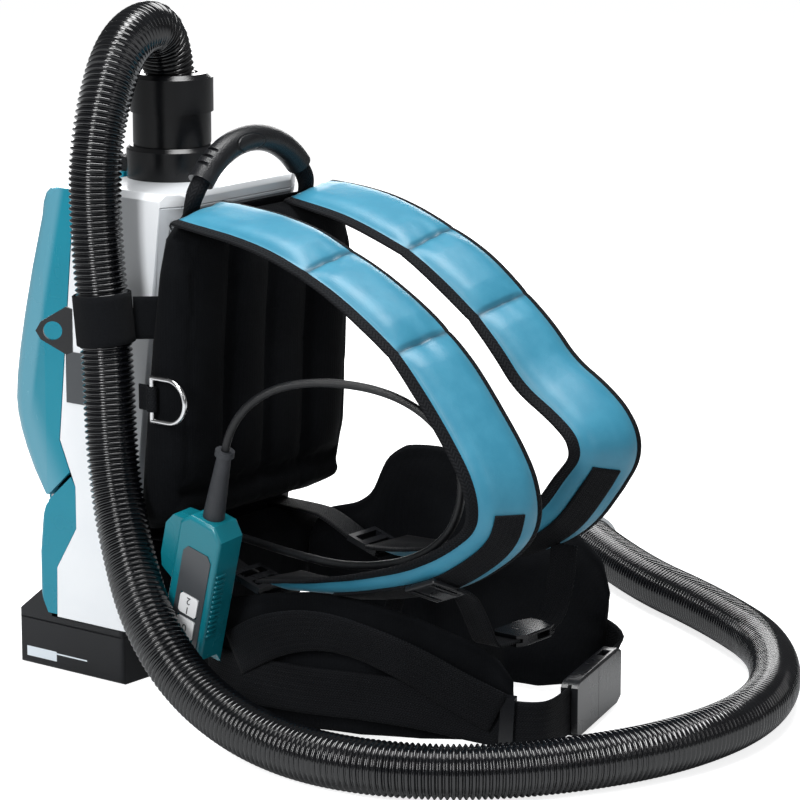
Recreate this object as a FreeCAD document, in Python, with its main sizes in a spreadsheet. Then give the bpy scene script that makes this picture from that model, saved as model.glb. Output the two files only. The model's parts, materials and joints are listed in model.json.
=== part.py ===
"""Cordless backpack vacuum cleaner: body with two battery packs, harness, ribbed hose and wired remote.

Millimetres. X is the wearer's left, -Y is the way the wearer faces (the harness side), +Y is the dust cover
side and +Z is up. The body's own frame has its origin under the middle of the body, on the plane that the
packs stand on. Every sub-part is then set over by origin_x and origin_y, which puts the row's origin at
the bottom centre of the whole object without its hose and cable.
"""
import FreeCAD, Part
import math
import os

import Sketcher
from FreeCAD import Placement, Rotation, Vector

DOC = FreeCAD.newDocument("backpack_vacuum")
SHEET = DOC.addObject("Spreadsheet::Sheet", "Size")
NODES = []

# Driving sizes: name, millimetres (or degrees, or a count), meaning
SIZES = [
    ("origin_x", -11.1, "row origin to the body's own origin, across"),
    ("origin_y", 88.7, "row origin to the body's own origin, front to back"),
    ("run_gap", 0.3, "clearance between pieces that only lie against each other"),
    ("fit_gap", 0.1, "clearance of a screw, pin or gland in its hole"),
    ("slide_gap", 0.6, "clearance of a sliding or turning piece in its guide"),
    ("body_width", 166.0, "outside width of the body"),
    ("body_wall", 3.0, "wall of the moulded shells"),
    ("body_bottom", 48.0, "underside of the shells, over the packs"),
    ("body_top", 408.0, "top of the white shell"),
    ("front_foot", 29.0, "front edge of the white side at the bottom"),
    ("front_head", -14.0, "front edge of the white side at the top"),
    ("seam_foot", 104.0, "white to teal seam at the bottom"),
    ("seam_bulge", 103.0, "white to teal seam beside the motor bulge"),
    ("seam_neck", 81.0, "white to teal seam at the neck"),
    ("seam_chest", 97.0, "white to teal seam under the dust room"),
    ("seam_head", 76.0, "white to teal seam at the top"),
    ("bulge_top", 90.0, "height where the bulge starts to draw in"),
    ("neck_bottom", 126.0, "lower end of the neck"),
    ("neck_top", 160.0, "upper end of the neck"),
    ("chest_bottom", 197.0, "height where the dust room is deepest at the seam"),
    ("cover_back", 166.0, "rear face of the dust cover"),
    ("cover_bend", 222.0, "height of the dust cover's rearmost line"),
    ("cover_head", 124.0, "dust cover's rear edge at the top"),
    ("cover_low", 142.0, "dust cover's rear edge at its bottom lip"),
    ("cover_low_z", 167.0, "height of the dust cover's bottom lip"),
    ("cover_taper", 12.0, "how far the dust cover's sides draw in at the back"),
    ("cover_swell", 112.0, "where the dust cover's sides begin to draw in"),
    ("hinge_y", 115.5, "dust cover's hinge line"),
    ("hinge_z", 146.0, "dust cover's hinge line"),
    ("hinge_pin_radius", 1.8, "hinge pin"),
    ("hinge_knuckle_radius", 4.2, "hinge knuckles"),
    ("knuckle_length", 16.0, "length of one hinge knuckle"),
    ("knuckle_spread", 48.0, "middle of each outer knuckle from the body's middle"),
    ("base_back", 124.0, "rear face of the teal base shell"),
    ("base_lip", 114.0, "rear edge of the base shell at the bottom"),
    ("base_lip_z", 70.0, "height where the base shell's bottom chamfer ends"),
    ("shelf_z", 150.0, "shelf between motor room and dust room"),
    ("room_bottom", 67.0, "floor of the motor room"),
    ("fan_eye_radius", 14.0, "hole in the shelf over the fan"),
    ("motor_y", 65.0, "axis of the motor"),
    ("can_radius", 34.0, "outside of the motor housing"),
    ("can_wall", 2.5, "wall of the motor housing"),
    ("can_height", 72.0, "height of the motor housing"),
    ("shaft_radius", 4.0, "motor shaft"),
    ("shaft_length", 62.0, "motor shaft"),
    ("rotor_radius", 13.0, "magnet rotor"),
    ("stator_radius", 23.0, "outside of the stator"),
    ("stator_height", 30.0, "stack height of the stator"),
    ("fan_radius", 29.0, "impeller"),
    ("fan_height", 11.0, "impeller between its two discs"),
    ("fan_blades", 7.0, "impeller blades"),
    ("pack_pitch", 79.0, "middle of one pack to the middle of the other"),
    ("pack_width", 75.0, "battery pack"),
    ("pack_length", 115.0, "battery pack"),
    ("pack_front", 38.0, "front end of the packs"),
    ("pack_deck", 45.0, "top of a pack's body"),
    ("pack_height", 62.0, "top of a pack's rail head"),
    ("head_width", 62.0, "rail head of a pack"),
    ("groove_depth", 3.0, "grooves along the rail head"),
    ("groove_height", 4.6, "grooves along the rail head"),
    ("groove_z", 51.0, "underside of the grooves"),
    ("pack_slope", 39.0, "slope of a pack's rear end, degrees"),
    ("button_width", 24.0, "release button"),
    ("button_length", 14.0, "release button"),
    ("button_height", 5.0, "release button"),
    ("button_proud", 1.6, "how far the release button stands out"),
    ("pack_round", 4.0, "rounding of a pack's corners"),
    ("top_bevel", 5.0, "bevel along the top of the white shell"),
    ("base_round", 6.0, "rounding of the base shell's rear corners"),
    ("cover_round", 20.0, "rounding of the dust cover's rear edges"),
    ("latch_width", 24.0, "cover latch"),
    ("latch_boss_length", 26.0, "pad under the cover latch"),
    ("latch_boss_height", 1.0, "pad under the cover latch"),
    ("cover_crown", 26.0, "rounding of the dust cover over its top"),
    ("cover_lean", 19.0, "lean of the dust cover's back under its top, degrees"),
    ("screw_reach", 62.0, "how deep the screw holes reach into the shell"),
    ("screw_seat", 3.0, "plastic under a screw head"),
    ("gland_x", 45.0, "cable gland, towards the near side"),
    ("gland_z", 135.0, "height of the cable gland"),
    ("gland_radius", 5.8, "cable gland"),
    ("plate_thick", 0.8, "bare rating plate"),
    ("plate_y", 60.0, "front edge of the rating plate"),
    ("plate_z", 230.0, "lower edge of the rating plate"),
    ("plate_long", 28.0, "rating plate"),
    ("plate_tall", 42.0, "rating plate"),
    ("filter_long", 120.0, "pre-filter"),
    ("filter_wide", 49.0, "pre-filter"),
    ("filter_tall", 20.0, "pre-filter"),
    ("filter_pleats", 15.0, "pleats of the pre-filter"),
    ("collar_y", 45.0, "axis of the hose inlet"),
    ("collar_radius", 31.5, "hose connector's tube"),
    ("flange_radius", 37.0, "inlet flange"),
    ("flange_height", 26.0, "inlet flange"),
    ("ring_radius", 33.5, "lock ring"),
    ("ring_height", 31.0, "lock ring"),
    ("ring_base", 461.0, "underside of the lock ring"),
    ("screw_x", 70.0, "screws of the front cover, from the middle"),
    ("screw_low", 92.0, "height of the lower screws"),
    ("screw_high", 383.0, "height of the upper screws"),
    ("screw_radius", 1.7, "screw thread"),
    ("screw_head", 3.3, "radius of a screw head"),
    ("hose_radius", 21.0, "hose over its ribs"),
    ("hose_bore", 16.0, "hose bore"),
    ("hose_valley", 18.4, "hose between its ribs"),
    ("hose_strap_z", 313.0, "middle of the strap round the hose"),
    ("hose_strap_width", 40.0, "strap round the hose"),
    ("strap_plate_thick", 3.0, "holed plate on the hose strap"),
    ("plate_hole", 7.5, "radius of the hole in the strap's plate"),
    ("hose_ribs", 44.0, "ribs along the hose"),
    ("hose_seat", 447.0, "height where the hose seats in the connector"),
    ("cuff_length", 64.0, "cuff on the far end of the hose"),
    ("cuff_radius", 22.5, "cuff on the far end of the hose"),
    ("cuff_bore", 17.5, "bore of the cuff, for a wand"),
    ("panel_depth", 14.0, "front cover"),
    ("panel_top", 398.0, "top of the front cover"),
    ("panel_chamfer", 22.0, "how far the front cover's sides draw in"),
    ("frame_thick", 5.0, "back frame plate"),
    ("frame_width", 176.0, "back frame plate"),
    ("frame_foot", 66.0, "lower edge of the back frame"),
    ("frame_head", 395.5, "upper edge of the back frame"),
    ("pad_bottom", 142.0, "lower end of the back pad"),
    ("pad_top", 390.5, "upper end of the back pad"),
    ("pad_half", 110.0, "half the width of the back pad"),
    ("pad_thick", 35.0, "back pad at the shoulders"),
    ("strap_spread", 68.0, "middle of a shoulder strap from the body's middle"),
    ("strap_width", 68.0, "shoulder strap"),
    ("strap_thick", 13.0, "shoulder strap at the middle of a cushion"),
    ("seam_thick", 7.0, "shoulder strap at a sewn seam"),
    ("web_thick", 2.0, "webbing"),
    ("web_width", 38.0, "waist webbing"),
    ("chest_web_width", 25.0, "chest and strap webbing"),
    ("wing_thick", 12.0, "hip pads"),
    ("grip_radius", 10.5, "carry grip's section"),
    ("grip_arc", 78.0, "radius of the carry grip's curve"),
    ("grip_top", 446.0, "highest line of the carry grip's axis"),
    ("grip_y", -37.0, "plane of the carry handle"),
    ("sleeve_radius", 7.5, "braided sleeve of the carry handle"),
    ("ring_wire", 1.9, "radius of a D-ring's wire"),
    ("ring_bow", 17.0, "radius of a D-ring's bow"),
    ("ring_neck", 17.0, "straight legs of a D-ring"),
    ("buckle_body", 52.0, "solid half of the waist buckle"),
    ("buckle_prong", 40.0, "prongs of the waist buckle"),
    ("buckle_socket", 60.0, "socket of the waist buckle"),
    ("clip_width", 31.0, "chest clip, across the webbing"),
    ("clip_thick", 9.0, "chest clip"),
    ("clip_body", 20.0, "solid half of the chest clip"),
    ("clip_prong", 16.0, "prongs of the chest clip"),
    ("clip_socket", 29.0, "socket of the chest clip"),
    ("lock_inset", 15.0, "middle of a ladder lock in from the side of the back frame"),
    ("pad_ring_x", -114.9, "bar of the D-ring beside the back pad"),
    ("pad_ring_y", -32.0, "bar of the D-ring beside the back pad"),
    ("pad_ring_z", 254.0, "middle of the D-ring beside the back pad"),
    ("belt_ring_x", -46.0, "bar of the D-ring on the belt"),
    ("belt_ring_y", -167.0, "middle of the D-ring on the belt"),
    ("belt_ring_z", 5.0, "middle of the D-ring on the belt"),
    ("remote_x", -128.2, "remote's lower corner"),
    ("remote_y", -45.6, "remote's lower corner"),
    ("remote_z", 54.7, "remote's lower corner"),
    ("key_wide", 18.0, "remote button"),
    ("key_tall", 16.5, "remote button"),
    ("key_high", 55.0, "middle of the upper remote button"),
    ("key_low", 35.0, "middle of the lower remote button"),
    ("key_middle", 23.0, "middle of both remote buttons, across"),
    ("key_proud", 0.7, "how far a remote button stands out of the face plate"),
    ("face_thick", 0.8, "face plate of the remote"),
    ("clip_wide", 18.0, "belt clip"),
    ("relief_foot", 8.5, "radius of the strain relief at the remote"),
    ("relief_tip", 5.6, "radius of the strain relief at the cable"),
    ("remote_width", 42.0, "remote, without its side lobe"),
    ("remote_deep", 29.0, "remote"),
    ("remote_long", 128.0, "remote"),
    ("remote_foot", 14.0, "how far the remote's front is cut away at its lower end"),
    ("remote_lobe", 18.0, "width of the remote's side lobe"),
    ("relief_length", 58.0, "remote's strain relief"),
    ("cable_radius", 3.25, "remote's cable"),
    ("key_travel", 1.0, "travel of a remote button"),
    ("buckle_width", 46.0, "waist buckle, across the webbing"),
    ("buckle_thick", 14.0, "waist buckle"),
]


def fill_sheet():
    """One row per size: its name, its value and what it measures."""
    for row, (name, number, meaning) in enumerate(SIZES, start=1):
        SHEET.set(f"A{row}", name)
        SHEET.set(f"B{row}", repr(number))
        SHEET.set(f"C{row}", meaning)
        SHEET.setAlias(f"B{row}", name)
    DOC.recompute()


fill_sheet()
SIZE = {name: float(SHEET.get(name)) for name, _, _ in SIZES}


def number(expression):
    """The value of an expression on the sheet, to start a sketch near its solution."""
    return float(SHEET.evalExpression(expression))


def bind(item, **expressions):
    """Bind properties of an object to the sheet; a double underscore stands for a dot."""
    for key, expression in expressions.items():
        item.setExpression(key.replace("__", "."), expression)


def keep(item, node, across="0", deep="0"):
    """Register a finished sub-part under its node name and set it over to the row's frame."""
    item.Label = node
    bind(item, Placement__Base__x=f"Size.origin_x + {across}", Placement__Base__y=f"Size.origin_y + {deep}")
    NODES.append(item)
    return item


def feature(node, shape):
    """A sub-part whose shape is worked out in code, from the same sheet."""
    item = DOC.addObject("Part::Feature", node)
    item.Shape = shape
    item.Placement = Placement(Vector(SIZE["origin_x"], SIZE["origin_y"], 0), Rotation())
    item.Label = node
    NODES.append(item)
    return item


# Helpers for PartDesign bodies
def new_body(name):
    return DOC.addObject("PartDesign::Body", name)


def plane_of(body, role):
    return [item for item in body.Origin.OriginFeatures if item.Role == role][0]


def new_sketch(body, role, offset="0"):
    """An empty sketch on one of the body's origin planes, moved along its normal by an expression."""
    sketch = body.newObject("Sketcher::SketchObject", "outline")
    sketch.AttachmentSupport = [(plane_of(body, role), "")]
    sketch.MapMode = "FlatFace"
    sketch.setExpression("AttachmentOffset.Base.z", offset)
    return sketch


def pin_point(sketch, index, end, across, up):
    """Fix one point of the sketch by two distances from its origin, each bound to the sheet."""
    for kind, text in (("DistanceX", across), ("DistanceY", up)):
        spot = sketch.addConstraint(Sketcher.Constraint(kind, -1, 1, index, end, number(text)))
        sketch.setExpression(f"Constraints[{spot}]", text)


def draw_polygon(sketch, points):
    """A closed outline of straight lines through points given as pairs of expressions."""
    first = sketch.GeometryCount
    count = len(points)
    spots = [Vector(number(across), number(up), 0) for across, up in points]
    for index in range(count):
        sketch.addGeometry(Part.LineSegment(spots[index], spots[(index + 1) % count]), False)
    for index in range(count):
        after = (index + 1) % count
        sketch.addConstraint(Sketcher.Constraint("Coincident", first + index, 2, first + after, 1))
    for index, (across, up) in enumerate(points):
        pin_point(sketch, first + index, 1, across, up)


def draw_circle(sketch, across, up, radius):
    centre = Vector(number(across), number(up), 0)
    index = sketch.addGeometry(Part.Circle(centre, Vector(0, 0, 1), number(radius)), False)
    pin_point(sketch, index, 3, across, up)
    spot = sketch.addConstraint(Sketcher.Constraint("Radius", index, number(radius)))
    sketch.setExpression(f"Constraints[{spot}]", radius)


def rectangle(left, right, low, high):
    return [(left, low), (right, low), (right, high), (left, high)]


def extrude(body, kind, role, polygons, length, offset="0", middle=False, back=False, circles=()):
    """A Pad or a Pocket from one sketch."""
    sketch = new_sketch(body, role, offset)
    for points in polygons:
        draw_polygon(sketch, points)
    for circle in circles:
        draw_circle(sketch, *circle)
    step = body.newObject(f"PartDesign::{kind}", kind)
    step.Profile = sketch
    step.setExpression("Length", length)
    step.Midplane = middle
    step.Reversed = back
    sketch.Visibility = False
    return step


def turn(body, kind, points, axis_role="Z_Axis", plane="XZ_Plane"):
    """A Revolution or a Groove about one of the body's own axes."""
    sketch = new_sketch(body, plane)
    draw_polygon(sketch, points)
    step = body.newObject(f"PartDesign::{kind}", kind)
    step.Profile = sketch
    axis = [item for item in body.Origin.OriginFeatures if item.Role == axis_role][0]
    step.ReferenceAxis = (axis, [""])
    step.Angle = 360.0
    return step


def soften(body, radius, pick, kind="Fillet"):
    """Fillet or chamfer the edges of the body's last feature that pick() accepts."""
    DOC.recompute()
    base = body.Tip
    names = [f"Edge{n}" for n, edge in enumerate(base.Shape.Edges, start=1) if pick(edge)]
    step = body.newObject(f"PartDesign::{kind}", kind)
    step.Base = (base, names)
    step.setExpression("Radius" if kind == "Fillet" else "Size", radius)
    DOC.recompute()
    return step


def along(edge, axis, length=1.0):
    """True for a straight edge along an axis ("x", "y" or "z") that is longer than length."""
    if not isinstance(edge.Curve, (Part.Line, Part.LineSegment)) or edge.Length < length:
        return False
    start, end = edge.Vertexes[0].Point, edge.Vertexes[-1].Point
    return abs(getattr(end.sub(start), axis)) > 0.99 * edge.Length


def box(name, x, y, z, length, width, height):
    """A Part box; each argument is an expression."""
    item = DOC.addObject("Part::Box", name)
    bind(item, Placement__Base__x=x, Placement__Base__y=y, Placement__Base__z=z)
    bind(item, Length=length, Width=width, Height=height)
    return item


def rod(name, radius, height, x, y, z, turned=None):
    """A Part cylinder along Z, or turned to lie along X or Y."""
    item = DOC.addObject("Part::Cylinder", name)
    if turned == "x":
        item.Placement = Placement(Vector(), Rotation(Vector(0, 1, 0), 90))
    if turned == "y":
        item.Placement = Placement(Vector(), Rotation(Vector(1, 0, 0), -90))
    bind(item, Placement__Base__x=x, Placement__Base__y=y, Placement__Base__z=z)
    bind(item, Radius=radius, Height=height)
    return item


def cut(name, base, tool):
    item = DOC.addObject("Part::Cut", name)
    item.Base = base
    item.Tool = tool
    return item


def fuse(name, pieces):
    item = DOC.addObject("Part::MultiFuse", name)
    item.Shapes = pieces
    return item


def group(name, pieces):
    """Separate solids that share one node."""
    item = DOC.addObject("Part::Compound", name)
    item.Links = pieces
    return item


def front_at(height):
    """The leaning front face of the white shell at a height."""
    rise = f"(({height}) - Size.body_bottom) / (Size.panel_top - Size.body_bottom)"
    return f"(Size.front_foot + (Size.front_head - Size.front_foot) * {rise})"


HALF = "(Size.body_width / 2)"
INNER = "(Size.body_width - 2 * Size.body_wall)"
SLOPE_MIDDLE = "(Size.pack_front + Size.pack_length - 13)"
LEAN = "atan((Size.front_foot - Size.front_head) / (Size.panel_top - Size.body_bottom))"


# The body's shells
def main_shell():
    """White shell: sides, top, front wall, shelf over the motor and the rails that hold the packs."""
    body = new_body("main_shell_body")
    lip = "(Size.front_head - Size.panel_depth + Size.run_gap * 5)"
    outside = [
        ("Size.front_foot", "Size.body_bottom"),
        ("Size.seam_foot", "Size.body_bottom"),
        ("Size.seam_bulge", "Size.bulge_top"),
        ("Size.seam_neck", "Size.neck_bottom"),
        ("Size.seam_neck", "Size.neck_top"),
        ("Size.seam_chest", "Size.chest_bottom"),
        ("Size.seam_head", "Size.body_top - 4"),
        ("Size.seam_head - 4", "Size.body_top"),
        (f"{lip} + 4", "Size.body_top"),
        (lip, "Size.body_top - 4"),
        (lip, "Size.panel_top"),
        ("Size.front_head", "Size.panel_top"),
    ]
    extrude(body, "Pad", "YZ_Plane", [outside], "Size.body_width", middle=True)
    top_side = lambda e: along(e, "y", 60) and e.Vertexes[0].Z > SIZE["body_top"] - 1
    soften(body, "Size.top_bevel", top_side, "Chamfer")
    corners = []
    for side in (-1, 1):
        corners.append([
            (f"{side} * ({HALF} + 1)", "Size.front_head"),
            (f"{side} * ({HALF} + 1)", f"{lip} - 1"),
            (f"{side} * ({HALF} - Size.panel_chamfer)", f"{lip} - 1"),
            (f"{side} * {HALF}", "Size.front_head"),
        ])
    extrude(body, "Pocket", "XY_Plane", corners, "Size.body_top - Size.panel_top + 1", "Size.body_top + 1")
    dust_room = [
        (f"{front_at('Size.shelf_z')} + Size.body_wall", "Size.shelf_z + Size.body_wall"),
        ("Size.cover_back", "Size.shelf_z + Size.body_wall"),
        ("Size.cover_back", "Size.body_top - 2 * Size.body_wall"),
        ("Size.front_head + Size.body_wall", "Size.body_top - 2 * Size.body_wall"),
    ]
    extrude(body, "Pocket", "YZ_Plane", [dust_room], INNER, middle=True)
    motor_room = [
        (f"{front_at('Size.room_bottom')} + Size.body_wall", "Size.room_bottom"),
        ("Size.cover_back", "Size.room_bottom"),
        ("Size.cover_back", "Size.shelf_z"),
        (f"{front_at('Size.shelf_z')} + Size.body_wall", "Size.shelf_z"),
    ]
    extrude(body, "Pocket", "YZ_Plane", [motor_room], INNER, middle=True)
    eye = ("0", "Size.motor_y", "Size.fan_eye_radius")
    extrude(body, "Pocket", "XY_Plane", [], "2 * Size.body_wall", "Size.shelf_z + 2 * Size.body_wall", circles=[eye])
    inlet = ("0", "Size.collar_y", "Size.collar_radius - Size.body_wall")
    extrude(body, "Pocket", "XY_Plane", [], "3 * Size.body_wall", "Size.body_top + 1", circles=[inlet])
    bays = [bay_outline(side) for side in (-1, 1)]
    extrude(body, "Pocket", "XZ_Plane", bays, "Size.cover_back", "-Size.pack_front")
    extrude(body, "Pocket", "XZ_Plane", [], "Size.screw_reach", "Size.panel_depth - Size.front_head", circles=screw_spots("Size.screw_radius + Size.fit_gap"))
    return keep(body, "main_shell")


def screw_spots(radius):
    """The four screws of the front cover, as circles on an XZ plane."""
    return [(f"{side} * Size.screw_x", f"Size.screw_{level}", radius)
            for side in (-1, 1) for level in ("low", "high")]


def bay_outline(side):
    """Section of a battery bay: a slot with a rib along each side, which runs in the pack's groove."""
    middle = f"{side} * Size.pack_pitch / 2"
    wide = "(Size.head_width / 2 + Size.slide_gap)"
    narrow = "(Size.head_width / 2 - Size.groove_depth + Size.slide_gap)"
    foot = "Size.body_bottom - 1"
    rib_low = "Size.groove_z + Size.slide_gap"
    rib_high = "Size.groove_z + Size.groove_height - Size.slide_gap"
    top = "Size.pack_height + Size.slide_gap"
    steps = [(wide, foot), (wide, rib_low), (narrow, rib_low), (narrow, rib_high), (wide, rib_high), (wide, top)]
    right = [(f"{middle} + {across}", up) for across, up in steps]
    left = [(f"{middle} - {across}", up) for across, up in reversed(steps)]
    return right + left


def base_shell():
    """Teal shell behind the motor, with the hinge's fixed knuckles on its top edge."""
    body = new_body("base_shell_body")
    outside = [
        ("Size.seam_neck", "Size.neck_top"),
        ("Size.seam_neck", "Size.neck_bottom"),
        ("Size.seam_bulge", "Size.bulge_top"),
        ("Size.seam_foot", "Size.body_bottom + 2"),
        ("Size.base_lip", "Size.body_bottom + 2"),
        ("Size.base_back", "Size.base_lip_z"),
        ("Size.base_back", "Size.base_lip_z + 30"),
        ("Size.base_back - 3", "Size.neck_bottom"),
        ("Size.hinge_y - 3.5", "Size.hinge_z - 1.5"),
        ("Size.seam_neck + 5", "Size.hinge_z + 22"),
    ]
    extrude(body, "Pad", "YZ_Plane", [outside], "Size.body_width", middle=True)
    back_edges = lambda e: abs(e.Vertexes[0].X) > SIZE["body_width"] / 2 - 0.1 and along(e, "z", 20) \
        and e.Vertexes[0].Y > SIZE["base_back"] - 4
    soften(body, "Size.base_round", back_edges)
    hollow = [
        ("Size.seam_neck - 5", "Size.room_bottom"),
        ("Size.base_back - Size.body_wall - 2.5", "Size.room_bottom"),
        ("Size.base_back - Size.body_wall", "Size.base_lip_z + 5"),
        ("Size.base_back - Size.body_wall", "Size.base_lip_z + 30"),
        ("Size.base_back - Size.body_wall - 3.5", "Size.neck_bottom"),
        ("Size.hinge_y - 9", "Size.hinge_z - 3"),
        ("Size.seam_neck - 5", "Size.hinge_z + 10"),
    ]
    extrude(body, "Pocket", "YZ_Plane", [hollow], f"{INNER} - 2 * Size.body_wall", middle=True)
    bays = []
    for side in (-1, 1):
        wide = "(Size.head_width / 2 + 2 * Size.slide_gap)"
        middle = f"{side} * Size.pack_pitch / 2"
        bays.append(rectangle(f"{middle} - {wide}", f"{middle} + {wide}",
                              "Size.body_bottom", "Size.pack_height + 2 * Size.slide_gap"))
    extrude(body, "Pocket", "XZ_Plane", bays, "Size.pack_length", "-Size.pack_front")
    sweep = ("Size.hinge_y", "Size.hinge_z", "Size.hinge_knuckle_radius + Size.slide_gap")
    extrude(body, "Pocket", "YZ_Plane", [], "Size.body_width", middle=True, circles=[sweep])
    knuckles = []
    for index, spot in enumerate(("-1.35", "-0.65", "0.65", "1.35")):
        place = f"{spot} * Size.knuckle_spread"
        knuckles.append(knuckle(f"fixed_knuckle_{index}", place, "-1", "-1", "5"))
    solid = fuse("base_with_knuckles", [body] + knuckles)
    bored = cut("base_bored", solid, pin_bore("base_pin_bore"))
    return keep(bored, "base_shell")


def knuckle(name, place, back, down, tall):
    """A hinge knuckle round the pin, with a web that runs from it into its shell."""
    tube = rod(f"{name}_tube", "Size.hinge_knuckle_radius", "Size.knuckle_length",
               f"{place} - Size.knuckle_length / 2", "Size.hinge_y", "Size.hinge_z", "x")
    reach = "(2.2 * Size.hinge_knuckle_radius)"
    web = box(f"{name}_web", f"{place} - Size.knuckle_length / 2",
              f"Size.hinge_y + min({back} * {reach}; 0)", f"Size.hinge_z + min({down} * {tall}; 0)",
              "Size.knuckle_length", reach, tall)
    return fuse(name, [tube, web])


def pin_bore(name):
    return rod(name, "Size.hinge_pin_radius + Size.fit_gap / 2", "Size.body_width",
               f"-{HALF}", "Size.hinge_y", "Size.hinge_z", "x")


def bend_line(start, corner, end, steps):
    """Points of a smooth bend from start to end that leaves both ends towards the corner, without the start."""
    points = []
    for step in range(1, steps + 1):
        t = step / steps
        points.append(tuple(p * (1 - t) ** 2 + 2 * q * t * (1 - t) + r * t * t for p, q, r in zip(start, corner, end)))
    return points


def cover_line():
    """Rear line of the dust cover from its lip up to its crown: (height, front to back)."""
    top, crown = SIZE["body_top"] - 4, SIZE["cover_crown"]
    head, back = SIZE["cover_head"], SIZE["cover_back"] - 1
    lip = (SIZE["cover_low_z"], SIZE["cover_low"])
    bend = (SIZE["cover_bend"], back)
    shoulder = (top - crown, head)
    steep = top - crown - (back - head) / math.tan(math.radians(SIZE["cover_lean"]))
    below = (SIZE["cover_bend"] * 0.6 + lip[0] * 0.4, back)
    line = [lip] + bend_line(lip, below, bend, 4) + bend_line(bend, (steep, back), shoulder, 5)
    return line + bend_line(shoulder, (top, head - 2), (top, head - crown), 4)


def between(points, level):
    """A value read off a line of (level, value) points that rises in level."""
    for (low, first), (high, second) in zip(points, points[1:]):
        if level <= high:
            return first + (second - first) * (level - low) / (high - low)
    return points[-1][1]


def cover_wire(level, front, back, half, round_off):
    """A level section of the dust cover: flat front, sides drawn in towards the back, rounded rear corners."""
    swell, draw = SIZE["cover_swell"], SIZE["cover_taper"]
    turn = min(round_off, 0.45 * (back - front))
    waist = min(swell, back - 1.15 * turn)
    corner_x = half - draw * max(0.0, back - swell) / (SIZE["cover_back"] - swell)
    slope = unit(Vector(corner_x - half, back - waist, 0))
    corner = Vector(corner_x, back, level)
    start = corner - slope * turn
    end = corner - Vector(turn, 0, 0)
    middle = (start + end) * 0.28 + corner * 0.44
    flip = lambda p: Vector(-p.x, p.y, p.z)
    edges = [Part.makeLine(Vector(-half, front, level), Vector(half, front, level)),
             Part.makeLine(Vector(half, front, level), Vector(half, waist, level)),
             Part.makeLine(Vector(half, waist, level), start), arc_edge(start, middle, end),
             Part.makeLine(end, flip(end)), arc_edge(flip(end), flip(middle), flip(start)),
             Part.makeLine(flip(start), Vector(-half, waist, level)),
             Part.makeLine(Vector(-half, waist, level), Vector(-half, front, level))]
    return Part.Wire(edges)


def cover_solid(name, line, front, half, round_off):
    """One solid through level sections; front gives the cover's open side at a height."""
    sections = [cover_wire(level, front(level), back, half, round_off) for level, back in line]
    item = DOC.addObject("Part::Feature", name)
    item.Shape = Part.makeLoft(sections, True, True)
    return item


def dust_cover():
    """Teal cover: a deep hollow lid, open towards the white shell, that swings down about its lower edge."""
    wall, gap, half = SIZE["body_wall"], SIZE["slide_gap"], SIZE["body_width"] / 2
    foot = SIZE["hinge_z"] + 3
    seam = [(foot, SIZE["hinge_y"] - 3.5), (SIZE["hinge_z"] + 26, SIZE["seam_neck"] + 6),
            (SIZE["chest_bottom"], SIZE["seam_chest"] + gap), (SIZE["body_top"] - 4, SIZE["seam_head"] + gap)]
    line = cover_line()
    lowest = (foot + 1, SIZE["hinge_y"])
    outside = [lowest] + sorted(line + [(level, between(line, level)) for level, _ in seam[1:3]])
    outer = cover_solid("cover_outside", outside, lambda level: between(seam, level), half, SIZE["cover_round"])
    hollow = [(SIZE["hinge_z"] + 10, SIZE["hinge_y"] + 6)]
    hollow += [(level, back - wall) for level, back in line if lowest[0] + 3 * wall < level < SIZE["body_top"] - 6 - wall]
    hollow.append((SIZE["body_top"] - 4 - wall, SIZE["cover_head"] - SIZE["cover_crown"]))
    inner = cover_solid("cover_inside", hollow, lambda level: SIZE["seam_neck"] - 5, half - wall, SIZE["cover_round"] - wall)
    shell = cut("cover_hollowed", outer, inner)
    gaps = []
    for index, spot in enumerate(("-1.35", "-0.65", "0.65", "1.35")):
        length = "(Size.knuckle_length + 2 * Size.slide_gap)"
        gaps.append(rod(f"cover_gap_{index}", "Size.hinge_knuckle_radius + Size.slide_gap", length,
                        f"{spot} * Size.knuckle_spread - {length} / 2", "Size.hinge_y", "Size.hinge_z", "x"))
        gaps.append(box(f"cover_web_gap_{index}", f"{spot} * Size.knuckle_spread - {length} / 2",
                        "Size.hinge_y - 3 * Size.hinge_knuckle_radius", "Size.hinge_z - 8", length,
                        "3 * Size.hinge_knuckle_radius", "Size.hinge_knuckle_radius + 8 + Size.slide_gap"))
    shell = cut("cover_cleared", shell, fuse("cover_gaps", gaps))
    knuckles = [knuckle(f"cover_knuckle_{side}", f"{side} * Size.knuckle_spread", "1", "1", "9.5") for side in (-1, 1)]
    boss = box("latch_boss", "-Size.latch_width / 2 - 4", "Size.seam_head + 8", "Size.body_top - 5",
               "Size.latch_width + 8", "Size.latch_boss_length", "5 + Size.latch_boss_height")
    shell = fuse("cover_with_knuckles", [shell, boss] + knuckles)
    bored = cut("cover_bored", shell, pin_bore("cover_pin_bore"))
    return keep(bored, "dust_cover")


def keep_inside(body, profile):
    """Cut away all that lies outside a side profile, with one pocket whose sketch has the profile as its island."""
    frame = rectangle("-Size.body_top", "Size.body_top", "-Size.body_top", "2 * Size.body_top")
    sketch = new_sketch(body, "YZ_Plane")
    draw_polygon(sketch, frame)
    draw_polygon(sketch, profile)
    step = body.newObject("PartDesign::Pocket", "trim")
    step.Profile = sketch
    step.setExpression("Length", "2 * Size.body_width")
    step.Midplane = True
    return step


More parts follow.
